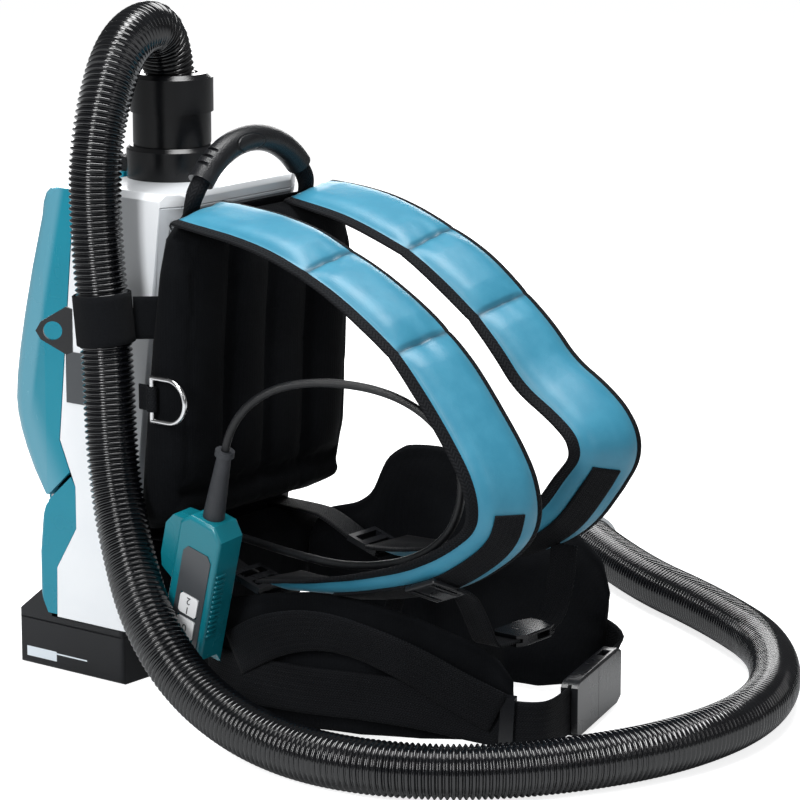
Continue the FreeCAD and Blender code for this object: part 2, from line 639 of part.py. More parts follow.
def front_cover():
    """Light grey tray on the leaning front, with room behind it for the controller board."""
    body = new_body("front_cover_body")
    depth = "Size.panel_depth"
    lofted(body, "Additive", [tray_section(level, "Size.panel_chamfer", HALF, depth)
                              for level in ("Size.body_bottom", "Size.panel_top - Size.run_gap")])
    wall = "Size.body_wall"
    half = f"({HALF} - Size.panel_chamfer - {wall})"
    lofted(body, "Subtractive", [tray_section(level, "0", half, f"{depth} - {wall}")
                                 for level in (f"Size.body_bottom + {wall}", f"Size.panel_top - 2 * {wall}")])
    lowest = "Size.panel_depth - Size.front_head + 1"
    extrude(body, "Pocket", "XZ_Plane", [], "Size.screw_reach + 20", lowest,
            circles=screw_spots("Size.screw_radius + Size.fit_gap"))
    for level in ("low", "high"):
        spots = [(f"{side} * Size.screw_x", f"Size.screw_{level}", "Size.screw_head + 1.2") for side in (-1, 1)]
        floor = f"{front_at('Size.screw_' + level)} - Size.screw_seat"
        extrude(body, "Pocket", "XZ_Plane", [], f"{lowest} + {floor}", lowest, circles=spots)
    gland = ("-Size.gland_x", "Size.gland_z", "Size.gland_radius + Size.fit_gap")
    extrude(body, "Pocket", "XZ_Plane", [], f"{front_at('Size.gland_z')} + {lowest} - 4", lowest, circles=[gland])
    return keep(body, "front_cover")


def tray_section(level, chamfer, half, depth):
    """A section of the front cover at a height: (height, corner points)."""
    back = front_at(level)
    return level, [(f"-{half}", back), (half, back), (f"{half} - {chamfer}", f"{back} - ({depth})"),
                   (f"-{half} + {chamfer}", f"{back} - ({depth})")]


def lofted(body, kind, sections):
    """An additive or subtractive straight loft between two level sections."""
    sketches = []
    for level, points in sections:
        sketch = new_sketch(body, "XY_Plane", level)
        draw_polygon(sketch, points)
        sketches.append(sketch)
    step = body.newObject(f"PartDesign::{kind}Loft", f"{kind}_loft")
    step.Profile = sketches[0]
    step.Sections = sketches[1:]
    step.Ruled = True
    return step


def shell_screws():
    """Four pan-head screws that hold the front cover."""
    screws = []
    for side in (-1, 1):
        for level in ("low", "high"):
            seat = f"({front_at('Size.screw_' + level)} - Size.screw_seat)"
            x, z = f"{side} * Size.screw_x", f"Size.screw_{level}"
            head = rod(f"screw_head_{side}_{level}", "Size.screw_head", "2.4", x, f"{seat} - 2.4", z, "y")
            thread = rod(f"screw_thread_{side}_{level}", "Size.screw_radius", "12", x, seat, z, "y")
            slot = box(f"screw_slot_{side}_{level}", f"{x} - 0.5", f"{seat} - 2.5", f"{z} - 2.4", "1", "1.2", "4.8")
            screws.append(cut(f"screw_{side}_{level}", fuse(f"screw_blank_{side}_{level}", [head, thread]), slot))
    return keep(group("screw_set", screws), "shell_screws")


def hinge_pin():
    length = "(2.7 * Size.knuckle_spread + Size.knuckle_length)"
    pin = rod("hinge_pin_rod", "Size.hinge_pin_radius", length, f"-{length} / 2", "Size.hinge_y", "Size.hinge_z", "x")
    return keep(group("hinge_pin_set", [pin]), "cover_hinge_pin")


def cover_latch():
    """Black lever on the cover's top edge; its nose reaches over the catch rib of the white shell."""
    body = new_body("latch_body")
    base = "(Size.body_top + 1 + Size.run_gap)"
    profile = [
        ("Size.seam_head + 7", base),
        ("Size.seam_head + Size.latch_boss_length + 6", base),
        ("Size.seam_head + Size.latch_boss_length + 9", f"{base} + 5"),
        ("Size.seam_head + Size.latch_boss_length", f"{base} + 9"),
        ("Size.seam_head + 16", f"{base} + 13"),
        ("Size.seam_head + 9", f"{base} + 11"),
    ]
    extrude(body, "Pad", "YZ_Plane", [profile], "Size.latch_width", middle=True)
    soften(body, "1.5", lambda e: along(e, "x", 10) and e.Vertexes[0].Z > SIZE["body_top"] + 7)
    return keep(body, "cover_latch")


def rating_plate():
    plate = box("plate_blank", f"-{HALF} - Size.plate_thick", "Size.plate_y", "Size.plate_z",
                "Size.plate_thick", "Size.plate_long", "Size.plate_tall")
    return keep(group("plate_set", [plate]), "rating_plate")


# Inlet on top
def turned_piece(node, profile, across="0", deep="0", cuts=()):
    """A turned piece about the Z axis; profile holds (radius, height) pairs."""
    body = new_body(f"{node}_body")
    turn(body, "Revolution", profile)
    for polygon, length, level in cuts:
        extrude(body, "Pocket", "XY_Plane", [polygon], length, level)
    return keep(body, node, across, deep)


def inlet_pieces():
    """Flange, hose connector and lock ring, one above the other on the inlet's axis."""
    flange_top = "(Size.body_top + Size.flange_height)"
    spigot = "(Size.collar_radius - Size.body_wall - Size.slide_gap)"
    flange = [
        ("Size.collar_radius - Size.body_wall", "Size.body_top"), ("Size.flange_radius", "Size.body_top"),
        ("Size.flange_radius", f"{flange_top} - 3"), ("Size.flange_radius - 3", flange_top),
        ("Size.collar_radius - Size.body_wall", flange_top),
    ]
    turned_piece("inlet_flange", flange, deep="Size.collar_y")
    hose_hole = "(Size.hose_radius + Size.run_gap)"
    neck = "(Size.ring_radius - 4.5)"
    connector = [
        ("Size.hose_bore", "Size.body_top + 6"), (spigot, "Size.body_top + 6"), (spigot, flange_top),
        ("Size.collar_radius", flange_top), ("Size.collar_radius", "Size.ring_base - Size.run_gap"),
        (neck, "Size.ring_base - Size.run_gap"), (neck, "Size.ring_base + Size.ring_height - 6"),
        (hose_hole, "Size.ring_base + Size.ring_height - 6"), (hose_hole, "Size.hose_seat - Size.run_gap"),
        ("Size.hose_bore", "Size.hose_seat - Size.run_gap"),
    ]
    turned_piece("hose_connector", connector, deep="Size.collar_y")
    top = "(Size.ring_base + Size.ring_height)"
    ring = [
        (f"{neck} + Size.run_gap", "Size.ring_base"), ("Size.ring_radius", "Size.ring_base"),
        ("Size.ring_radius", f"{top} - 3.5"), ("Size.ring_radius - 3.5", top), (f"{hose_hole} + Size.run_gap", top),
        (f"{hose_hole} + Size.run_gap", f"{top} - 5"), (f"{neck} + Size.run_gap", f"{top} - 5"),
    ]
    notch = rectangle("Size.ring_radius - 1.5", "Size.ring_radius + 2", "-6", "6")
    turned_piece("lock_ring", ring, deep="Size.collar_y", cuts=[(notch, "9", top)])


# Motor and fan
def motor_pieces():
    """Fan housing, stator, magnet rotor on its shaft, and the impeller under the shelf's hole."""
    floor = "(Size.room_bottom + Size.run_gap)"
    top = "(Size.room_bottom + Size.can_height)"
    inner = "(Size.can_radius - Size.can_wall)"
    eye = "(Size.fan_eye_radius + 2)"
    hole = "(Size.shaft_radius + Size.fit_gap / 2)"
    can = [
        (hole, floor), ("Size.can_radius", floor), ("Size.can_radius", top), (eye, top),
        (eye, f"{top} - Size.can_wall"), (inner, f"{top} - Size.can_wall"),
        (inner, f"{floor} + 2 * Size.can_wall"), (hole, f"{floor} + 2 * Size.can_wall"),
    ]
    vents = [(rectangle("-Size.can_radius - 1", "Size.can_radius + 1", "-5", "5"), "8", f"{top} - 14"),
             (rectangle("-5", "5", "-Size.can_radius - 1", "Size.can_radius + 1"), "8", f"{top} - 14")]
    turned_piece("motor_housing", can, deep="Size.motor_y", cuts=vents)
    low = "(Size.room_bottom + 18)"
    middle = f"({low} + Size.stator_height / 2)"
    core = rod("stator_core", "Size.stator_radius", "Size.stator_height", "0", "0", low)
    arms = [box("stator_arm_x", f"-{inner}", "-4", low, f"2 * {inner}", "8", "Size.stator_height"),
            box("stator_arm_y", "-4", f"-{inner}", low, "8", f"2 * {inner}", "Size.stator_height")]
    limit = rod("stator_limit", f"{inner} - Size.fit_gap / 2", "Size.stator_height", "0", "0", low)
    solid = DOC.addObject("Part::MultiCommon", "stator_solid")
    solid.Shapes = [fuse("stator_cross", [core] + arms), limit]
    bore = rod("stator_bore", "Size.rotor_radius + Size.slide_gap", "2 * Size.stator_height", "0", "0", f"{low} - 5")
    keep(cut("stator", solid, bore), "motor_stator", deep="Size.motor_y")
    foot = f"({floor} + 0.7)"
    shaft = [
        ("0", foot), ("Size.shaft_radius", foot), ("Size.shaft_radius", low), ("Size.rotor_radius", low),
        ("Size.rotor_radius", f"{low} + Size.stator_height"), ("Size.shaft_radius", f"{low} + Size.stator_height"),
        ("Size.shaft_radius", f"{foot} + Size.shaft_length"), ("0", f"{foot} + Size.shaft_length"),
    ]
    turned_piece("motor_shaft", shaft, deep="Size.motor_y")
    impeller()
    return middle


def impeller():
    """Closed impeller: hub and back disc, a ring of blades and a shroud with the eye."""
    body = new_body("impeller_body")
    low = "(Size.room_bottom + Size.can_height - 18)"
    back = [("Size.shaft_radius", low), ("Size.fan_radius", low), ("Size.fan_radius", f"{low} + 1.5"),
            ("10", f"{low} + 1.5"), ("8", f"{low} + Size.fan_height - 3"), ("Size.shaft_radius", f"{low} + Size.fan_height - 3")]
    turn(body, "Revolution", back)
    blade = [("9", "-3"), ("Size.fan_radius - 1", "6"), ("Size.fan_radius - 1", "7.6"), ("9", "-1.2")]
    pad = extrude(body, "Pad", "XY_Plane", [blade], "Size.fan_height - 2.5", f"{low} + 1")
    pattern = body.newObject("PartDesign::PolarPattern", "blades")
    pattern.Originals = [pad]
    pattern.Axis = ([item for item in body.Origin.OriginFeatures if item.Role == "Z_Axis"][0], [""])
    pattern.Angle = 360.0
    bind(pattern, Occurrences="Size.fan_blades")
    body.Tip = pattern
    shroud = [("Size.fan_eye_radius - 1", f"{low} + Size.fan_height - 1.5"), ("Size.fan_radius", f"{low} + Size.fan_height - 1.5"),
              ("Size.fan_radius", f"{low} + Size.fan_height"), ("Size.fan_eye_radius - 1", f"{low} + Size.fan_height")]
    turn(body, "Revolution", shroud)
    return keep(body, "impeller", deep="Size.motor_y")


def dust_room_pieces():
    """Dust bag under the inlet and the pleated pre-filter over the fan."""
    bag = new_body("bag_body")
    top = "(Size.body_top - 2 * Size.body_wall - Size.run_gap)"
    side = [
        ("Size.front_foot + 2", "Size.shelf_z + 35"), ("Size.seam_chest + 10", "Size.shelf_z + 30"),
        ("Size.cover_back - 30", "Size.cover_bend"), ("Size.cover_head - 22", f"{top} - 14"),
        ("Size.seam_head - 2", f"{top} - 3"), ("Size.seam_head - 2", top), ("4", top), ("4", f"{top} - 3"),
        ("-2", f"{top} - 12"),
    ]
    extrude(bag, "Pad", "YZ_Plane", [side], "Size.body_width - 30", middle=True)
    wide = SIZE["body_width"]
    soften(bag, "9", lambda e: not along(e, "x", 20) and e.Length > 0.36 * wide
           and abs(e.Vertexes[0].X) > 0.35 * wide and e.CenterOfMass.z < SIZE["body_top"] - 16)
    mouth = ("0", "Size.collar_y", "Size.collar_radius - 2 * Size.body_wall")
    extrude(bag, "Pocket", "XY_Plane", [], "90", top, circles=[mouth])
    keep(bag, "dust_bag")
    sieve = new_body("filter_body")
    base = "(Size.shelf_z + Size.body_wall)"
    row = "(Size.seam_neck - Size.slide_gap - Size.filter_wide / 2)"
    plan = rectangle("-Size.filter_long / 2", "Size.filter_long / 2",
                     f"{row} - Size.filter_wide / 2", f"{row} + Size.filter_wide / 2")
    extrude(sieve, "Pad", "XY_Plane", [plan], "Size.filter_tall", base)
    first = rectangle("-Size.filter_long / 2 + 6", "-Size.filter_long / 2 + 9",
                      f"{row} - Size.filter_wide / 2 + 6", f"{row} + Size.filter_wide / 2 - 6")
    groove = extrude(sieve, "Pocket", "XY_Plane", [first], "Size.filter_tall * 0.6", f"{base} + Size.filter_tall")
    pleats = sieve.newObject("PartDesign::LinearPattern", "pleats")
    pleats.Originals = [groove]
    pleats.Direction = ([item for item in sieve.Origin.OriginFeatures if item.Role == "X_Axis"][0], [""])
    bind(pleats, Length="Size.filter_long - 15", Occurrences="Size.filter_pleats")
    sieve.Tip = pleats
    keep(sieve, "pre_filter")


def board_pieces():
    """Controller board behind the front cover, the terminals of the battery bays and the cable's gland."""
    depth = "Size.panel_depth - 2 * Size.body_wall"
    parts = [
        box("board", "-42", "0", "0", "84", "1.6", "100"),
        box("board_sink", "-30", "-5", "60", "40", "5.2", "24"),
        rod("board_can", "5", "5.2", "24", "-5", "76", "y"),
        box("board_block", "-36", "-5", "8", "60", "5.2", "14"),
    ]
    board = fuse("board_set", parts)
    board.Placement = Placement(Vector(), Rotation(Vector(1, 0, 0), number(LEAN)))
    level = "Size.gland_z + 40"
    bind(board, Placement__Rotation__Angle=LEAN, Placement__Base__z=level)
    keep(board, "controller_board", deep=f"({front_at(level)} - 1.8)")
    blocks = []
    for side in (-1, 1):
        middle = f"{side} * Size.pack_pitch / 2"
        block = box(f"terminal_block_{side}", f"{middle} - 18", "Size.pack_front", "Size.body_bottom + 2",
                    "36", "4", "10")
        blades = [box(f"terminal_blade_{side}_{n}", f"{middle} + {n} * 10 - 0.5", "Size.pack_front + 3.9",
                      "Size.body_bottom + 4", "1", "1.4", "6") for n in (-1, 0, 1)]
        blocks.append(fuse(f"terminal_{side}", [block] + blades))
    keep(group("terminal_set", blocks), "battery_terminals")
    start = f"({front_at('Size.gland_z')} - Size.panel_depth - Size.frame_thick - 6)"
    barrel = rod("gland_barrel", "Size.gland_radius", "6 + Size.frame_thick + Size.panel_depth - 5",
                 "-Size.gland_x", start, "Size.gland_z", "y")
    keep(group("gland_set", [barrel]), "cable_gland")
    return depth


# Battery packs
def battery(side, word):
    """A pack: body with a raised rear shoulder, a rail head on top and the recess of its release button."""
    body = new_body(f"battery_{word}_body")
    middle = f"{side} * Size.pack_pitch / 2"
    rear = "(Size.pack_front + Size.pack_length)"
    crest = f"({rear} - 26)"
    slope_top = "(Size.pack_deck + 26 * tan(Size.pack_slope))"
    profile = [
        ("Size.pack_front", "0"), (rear, "0"), (rear, "Size.pack_deck"), (crest, slope_top),
        (f"{crest} - 3", slope_top), ("Size.base_lip + 1.8", "Size.pack_deck + 2"),
        ("Size.base_lip + 1.8", "Size.pack_deck"), ("Size.pack_front", "Size.pack_deck"),
    ]
    extrude(body, "Pad", "YZ_Plane", [profile], "Size.pack_width", middle=True)
    corner = lambda e: along(e, "z", 30) or (along(e, "y", 100) and e.Vertexes[0].Z < 1)
    soften(body, "Size.pack_round", corner)
    head = rectangle("-Size.head_width / 2", "Size.head_width / 2", "Size.pack_front + 6", "Size.base_lip + 4")
    extrude(body, "Pad", "XY_Plane", [head], "Size.pack_height - Size.pack_deck + 2", "Size.pack_deck - 2")
    grooves = [rectangle(f"{way} * Size.head_width / 2 - Size.groove_depth", f"{way} * Size.head_width / 2 + Size.groove_depth",
                         "Size.groove_z", "Size.groove_z + Size.groove_height") for way in (-1, 1)]
    extrude(body, "Pocket", "XZ_Plane", grooves, "Size.base_lip - Size.pack_front - 4", "-Size.pack_front")
    lines = [rectangle(f"{way} * Size.pack_width / 2 - 1.2", f"{way} * Size.pack_width / 2 + 1.2", "Size.pack_deck - 6",
                       "Size.pack_deck - 4.4") for way in (-1, 1)]
    extrude(body, "Pocket", "XZ_Plane", lines, "Size.pack_length", "-Size.pack_front")
    recess = slope_box(f"recess_{word}", "Size.button_width + 2 * Size.slide_gap",
                       "Size.button_length + 2 * Size.slide_gap", "-Size.button_height - 1.5", "20")
    shaped = cut(f"battery_{word}_shape", body, recess)
    keep(shaped, f"battery_{word}", across=middle)
    button = slope_box(f"button_{word}", "Size.button_width", "Size.button_length",
                       "Size.button_proud - Size.button_height", "Size.button_height")
    soften(button, "2", lambda e: along(e, "z", 3))
    keep(button, f"release_button_{word}", across=middle, deep=SLOPE_MIDDLE)


def slope_box(name, wide, long, low, tall):
    """A box on the middle of a pack's slope, square to it."""
    item = new_body(name)
    plan = rectangle(f"-({wide}) / 2", f"({wide}) / 2", f"-({long}) / 2", f"({long}) / 2")
    extrude(item, "Pad", "XY_Plane", [plan], tall, low)
    item.Placement = Placement(Vector(), Rotation(Vector(1, 0, 0), -SIZE["pack_slope"]))
    bind(item, Placement__Rotation__Angle="-Size.pack_slope", Placement__Base__y=SLOPE_MIDDLE,
         Placement__Base__z="Size.pack_deck + 13 * tan(Size.pack_slope)")
    return item


# Shapes worked out in code: cushions, webbing, cords
def unit(vector):
    return vector / vector.Length


def arc_edge(start, through, end):
    return Part.Arc(start, through, end).toShape()


def cushion_wire(centre, across, normal, width, thick):
    """A cushion's section: gently crowned faces and rounded sides, each less than half a circle."""
    edge = 0.36 * thick
    side = 0.30 * thick
    flat = width / 2 - side
    points = []
    for way, face in ((-1, 1), (1, 1), (1, -1), (-1, -1)):
        points.append(centre + across * (way * flat) + normal * (face * edge))
    crowns = [centre + normal * (thick / 2), centre + across * (width / 2),
              centre - normal * (thick / 2), centre - across * (width / 2)]
    return Part.Wire([arc_edge(points[n], crowns[n], points[(n + 1) % 4]) for n in range(4)])


def flat_wire(centre, across, normal, width, thick):
    """A webbing's section: a plain rectangle."""
    points = []
    for way, face in ((-1, 1), (1, 1), (1, -1), (-1, -1)):
        points.append(centre + across * (way * width / 2) + normal * (face * thick / 2))
    return Part.makePolygon(points + points[:1])


def strip(path, across, widths, thicks, wire=cushion_wire):
    """A soft strip that follows a path: one section square to the path at each point, joined by a ruled loft."""
    sections = []
    for index, point in enumerate(path):
        before, after = path[max(index - 1, 0)], path[min(index + 1, len(path) - 1)]
        tangent = unit(after - before)
        side = across[index] if isinstance(across, list) else across
        side = unit(side - tangent * side.dot(tangent))
        width = widths[index] if isinstance(widths, list) else widths
        thick = thicks[index] if isinstance(thicks, list) else thicks
        sections.append(wire(point, side, unit(tangent.cross(side)), width, thick))
    return Part.makeLoft(sections, True, True)


def lobed_wire(level, half, back, front, lobes, crown):
    """A section of a back cushion: flat back, rounded sides and a front of equal lobes between channels."""
    inset = min(12.0, (back - front) * 0.35)
    edges = [Part.LineSegment(Vector(-half + inset, back, level), Vector(half - inset, back, level)).toShape()]
    low = front + crown
    edges.append(arc_edge(Vector(half - inset, back, level), Vector(half, (back + low) / 2, level),
                          Vector(half - inset, low, level)))
    step = 2 * (half - inset) / lobes
    for lobe in range(lobes):
        start = half - inset - lobe * step
        edges.append(arc_edge(Vector(start, low, level), Vector(start - step / 2, front, level),
                              Vector(start - step, low, level)))
    edges.append(arc_edge(Vector(-half + inset, low, level), Vector(-half, (back + low) / 2, level),
                          Vector(-half + inset, back, level)))
    return Part.Wire(edges)


def front_line(level):
    """The front of the back frame at a height: what the pads lie against."""
    return number(front_at(str(level))) - SIZE["panel_depth"] - SIZE["frame_thick"]


def back_frame():
    """Leaning plate that carries the harness, with cut corners and a hole for the cable."""
    body = new_body("back_frame_body")
    tall = f"((Size.frame_head - Size.frame_foot) / cos({LEAN}))"
    half = "(Size.frame_width / 2)"
    plan = [(f"-{half} + 14", "0"), (f"{half} - 14", "0"), (half, "14"), (half, f"{tall} - 20"), (f"{half} - 20", tall),
            (f"-{half} + 20", tall), (f"-{half}", f"{tall} - 20"), (f"-{half}", "14")]
    gland = ("-Size.gland_x", f"(Size.gland_z - Size.frame_foot) / cos({LEAN})", "Size.gland_radius + Size.slide_gap + Size.run_gap")
    extrude(body, "Pad", "XZ_Plane", [plan], "Size.frame_thick", circles=[gland])
    body.Placement = Placement(Vector(), Rotation(Vector(1, 0, 0), number(LEAN)))
    bind(body, Placement__Rotation__Angle=LEAN, Placement__Base__z="Size.frame_foot")
    return keep(body, "back_frame", deep=f"({front_at('Size.frame_foot')} - Size.panel_depth)")


def back_cushions():
    """Back pad with five channels and the lumbar pad below it, both lying on the frame."""
    gap = SIZE["run_gap"]
    half, thick = SIZE["pad_half"], SIZE["pad_thick"]
    low, high = SIZE["pad_bottom"], SIZE["pad_top"]
    sections = []
    for level, share, narrow in ((low, 0.45, 14), (low + 14, 1.2, 2), (low + 60, 1.3, 0), (high - 110, 1.1, 0),
                                 (high - 40, 1.0, 2), (high - 12, 0.78, 8), (high, 0.35, 26)):
        back = front_line(level) - gap
        sections.append(lobed_wire(level, half - narrow, back, back - thick * share, 6, 3.5))
    feature("back_pad", Part.makeLoft(sections, True, True))
    sections = []
    top = SIZE["pad_bottom"] - 13
    for level, share, narrow in ((SIZE["frame_foot"] - 6, 0.4, 12), (SIZE["frame_foot"] + 6, 0.95, 2),
                                 (top - 14, 1.0, 0), (top, 0.5, 8)):
        back = front_line(max(level, SIZE["frame_foot"])) - gap
        sections.append(lobed_wire(level, half - 6 - narrow, back, back - thick * share, 4, 3.5))
    feature("lumbar_pad", Part.makeLoft(sections, True, True))


# A strap's points: front to back, height, thickness and how far it leans out, in degrees
NEAR_STRAP = [(-40.5, 395.5, 5, 0), (-72, 392.5, 7, 4), (-104, 389, 12, 6), (-140, 381, 13, 8), (-170, 369, 7, 9),
              (-196, 358, 12, 10), (-228, 340, 13, 11), (-259, 319, 7, 13), (-283, 295, 12, 14), (-308, 264, 13, 14),
              (-329, 235, 12, 14), (-338, 212, 11, 14), (-338, 190, 11, 14), (-322, 171, 12, 15), (-284, 146, 13, 16),
              (-240, 131, 13, 16), (-190, 121, 12, 14), (-150, 117, 12, 8), (-120, 116, 9, 3)]
FAR_STRAP = [(-40.5, 395.5, 5, 0), (-72, 392.5, 7, 5), (-110, 386, 12, 9), (-162, 368, 7, 13), (-197, 349, 12, 15),
             (-232, 323, 7, 16), (-257, 300, 12, 17), (-278, 275, 13, 19), (-308, 258, 12, 19), (-330, 240, 11, 18),
             (-336, 218, 11, 18), (-320, 196, 12, 18), (-296, 163, 12, 17), (-260, 141, 13, 15), (-220, 128, 13, 12),
             (-175, 120, 12, 8), (-146, 117, 12, 5), (-120, 116, 9, 2)]


def leaning(path, index, lean):
    """The direction across a strap at one of its points, turned about the strap by its lean."""
    before, after = path[max(index - 1, 0)], path[min(index + 1, len(path) - 1)]
    straight = Vector(1, 0, 0)
    outward = unit(after - before).cross(straight)
    return straight * math.cos(math.radians(lean)) + outward * math.sin(math.radians(lean))


def shoulder_straps():
    """Padded straps: out of the frame's top, round the shoulder and back to a ladder lock at the side."""
    for side, word, route in ((-1, "near", NEAR_STRAP), (1, "far", FAR_STRAP)):
        spread = SIZE["strap_spread"]
        path = [Vector(side * spread, y, z) for y, z, _, _ in route]
        share = [thick / 13.0 * SIZE["strap_thick"] for _, _, thick, _ in route]
        last = len(route) - 1
        wide = [SIZE["strap_width"] * (0.86 if index in (0, last) else 1.0) for index in range(len(route))]
        across = [leaning(path, index, lean) for index, (_, _, _, lean) in enumerate(route)]
        feature(f"shoulder_strap_{word}", strip(path, across, wide, share))


def lock_frame(centre, across, along_way, wide, long, thick):
    """A ladder lock: a flat frame with a middle bar, so two slots."""
    normal = unit(across.cross(along_way))

    def block(half_wide, half_long, half_thick, shift):
        corner = [centre + across * (a * half_wide) + along_way * (shift + b * half_long) - normal * half_thick
                  for a, b in ((-1, -1), (1, -1), (1, 1), (-1, 1))]
        return Part.Face(Part.makePolygon(corner + corner[:1])).extrude(normal * (2 * half_thick))

    frame = block(wide / 2, long / 2, thick / 2, 0)
    for shift in (-long * 0.22, long * 0.22):
        frame = frame.cut(block(wide / 2 - 4, long * 0.12, thick, shift))
    return frame


def strap_ends():
    """Ladder locks at the lower ends of the straps, and the webbing from the frame through them to a loose tail."""
    width, thick, gap = SIZE["chest_web_width"], SIZE["web_thick"], SIZE["run_gap"]
    spread, slit = SIZE["frame_width"] / 2 - SIZE["lock_inset"], SIZE["pad_bottom"] - 10.5
    locks, webs = [], []
    for side in (-1, 1):
        x = side * spread
        locks.append(lock_frame(Vector(x, -104, 113), Vector(1, 0, 0), unit(Vector(0, 28, 9)), width + 10, 30, 5))
        under = 113 - 2.7 - gap - thick / 2
        webs.append([Vector(x, front_line(slit) - gap, slit), Vector(x, -44, slit), Vector(x, -62, slit - 5),
                     Vector(x, -88, under + 5), Vector(x, -104, under), Vector(x, -121, under - 6),
                     Vector(x, -129, under - 22), Vector(x, -126, under - 44), Vector(x, -119, under - 60)])
    feature("ladder_locks", Part.Compound(locks))
    solids = [strip(path, Vector(1, 0, 0), width, thick, flat_wire) for path in webs]
    feature("strap_webbings", Part.Compound(solids))


def carry_handle():
    """Rubber grip on a bowed core, with a sleeved webbing at each end that is fixed to the frame."""
    centre_z = SIZE["grip_top"] - SIZE["grip_arc"]
    start, sleeve = 40.0, 12.5

    def arc_piece(name, first, sweep, radius):
        item = DOC.addObject("Part::Torus", name)
        item.Angle3 = sweep
        item.Placement = Placement(Vector(), Rotation(Vector(1, 0, 0), 90) * Rotation(Vector(0, 0, 1), first))
        bind(item, Radius1="Size.grip_arc", Radius2=radius, Placement__Base__y="Size.grip_y",
             Placement__Base__z="Size.grip_top - Size.grip_arc")
        return item

    grip = arc_piece("grip_arc_piece", start, 180 - 2 * start, "Size.grip_radius")
    slots = []
    for index, angle in enumerate((48, 53, 58, 122, 127, 132)):
        reach = SIZE["grip_arc"] + SIZE["grip_radius"]
        slot = DOC.addObject("Part::Box", f"grip_slot_{index}")
        slot.Length, slot.Width, slot.Height = 3.0, 13.0, 2.4
        turned = Rotation(Vector(0, 1, 0), 90 - angle)
        spot = Vector(reach * math.cos(math.radians(angle)), SIZE["grip_y"], centre_z + reach * math.sin(math.radians(angle)))
        slot.Placement = Placement(spot + turned.multVec(Vector(-1.5, -6.5, -2.0)), turned)
        slots.append(slot)
    keep(group("grip_set", [cut("grip_slotted", grip, fuse("grip_slots", slots))]), "handle_grip")
    ends = []
    for side in (-1, 1):
        first = start - sleeve if side > 0 else 180 - start
        braid = arc_piece(f"sleeve_{side}", first, sleeve, "Size.sleeve_radius")
        foot = (SIZE["grip_arc"] + 1) * math.cos(math.radians(start - sleeve))
        top = centre_z + SIZE["grip_arc"] * math.sin(math.radians(start - sleeve))
        low = SIZE["frame_head"] - 4
        back = number(front_at(str(low))) - SIZE["panel_depth"] - SIZE["frame_thick"] - 1
        tab = Part.Face(Part.makePolygon([
            Vector(side * foot - 10, back, low), Vector(side * foot + 10, back, low),
            Vector(side * foot + 10, back - 3, low), Vector(side * foot - 10, back - 3, low),
            Vector(side * foot - 10, back, low)])).extrude(Vector(0, SIZE["grip_y"] - back + 1, top + 3 - low))
        holder = DOC.addObject("Part::Feature", f"handle_tab_{side}")
        holder.Shape = tab
        ends.append(fuse(f"handle_end_{side}", [braid, holder]))
    keep(group("handle_ends", ends), "handle_webbing")


def hip_pads():
    """Hip pads that stand on edge and curve round the wearer from the lumbar pad."""
    near = [((-76, -52), 8, 78), ((-86, -84), 5, 90), ((-89, -120), 5, 96), ((-83, -165), 5, 104), ((-72, -205), 5, 106),
            ((-54, -250), 7, 98), ((-32, -296), 14, 70)]
    far = [((97, -44), 34, 128), ((110, -59), 28, 148), ((128, -84), 20, 176), ((144, -118), 12, 180),
           ((157, -160), 8, 164), ((164, -205), 6, 140), ((162, -246), 6, 122), ((153, -282), 18, 100)]
    for word, stations in (("near", near), ("far", far)):
        path = [Vector(x, y, (low + high) / 2) for (x, y), low, high in stations]
        wide = [high - low for _, low, high in stations]
        last = len(stations) - 1
        thick = [SIZE["wing_thick"] * (0.6 if n in (0, last) else 1.0) for n in range(len(stations))]
        feature(f"hip_pad_{word}", strip(path, Vector(0, 0, 1), wide, thick))


BUCKLE_WAY = unit(Vector(0.956, 0.292, 0))
BUCKLE_START = Vector(22, -335, 26)


def waist_belt():
    """Waist webbing along the near hip pad to the buckle, and the short one on the far hip pad."""
    width, thick = SIZE["web_width"], SIZE["web_thick"]
    near = [Vector(-85.5, -62, 38), Vector(-94.6, -86, 38), Vector(-97.2, -120, 38), Vector(-91.8, -167, 38),
            Vector(-80.6, -209, 39), Vector(-63, -256, 36), Vector(-45, -302, 28), Vector(-30, -338, 26)]
    near = near + [BUCKLE_START - BUCKLE_WAY * 34, BUCKLE_START + BUCKLE_WAY * 8]
    feature("waist_webbing_near", strip(near, Vector(0, 0, 1), width, thick, flat_wire))
    inner = BUCKLE_START + BUCKLE_WAY * (SIZE["buckle_body"] + SIZE["buckle_socket"] - 4)
    far = [inner, inner + BUCKLE_WAY * 7, Vector(150, -295.5, 29), Vector(162, -284, 38), Vector(167.8, -265, 46),
           Vector(169.9, -245, 54), Vector(171.3, -215, 60)]
    feature("waist_webbing_far", strip(far, Vector(0, 0, 1), width, thick, flat_wire))


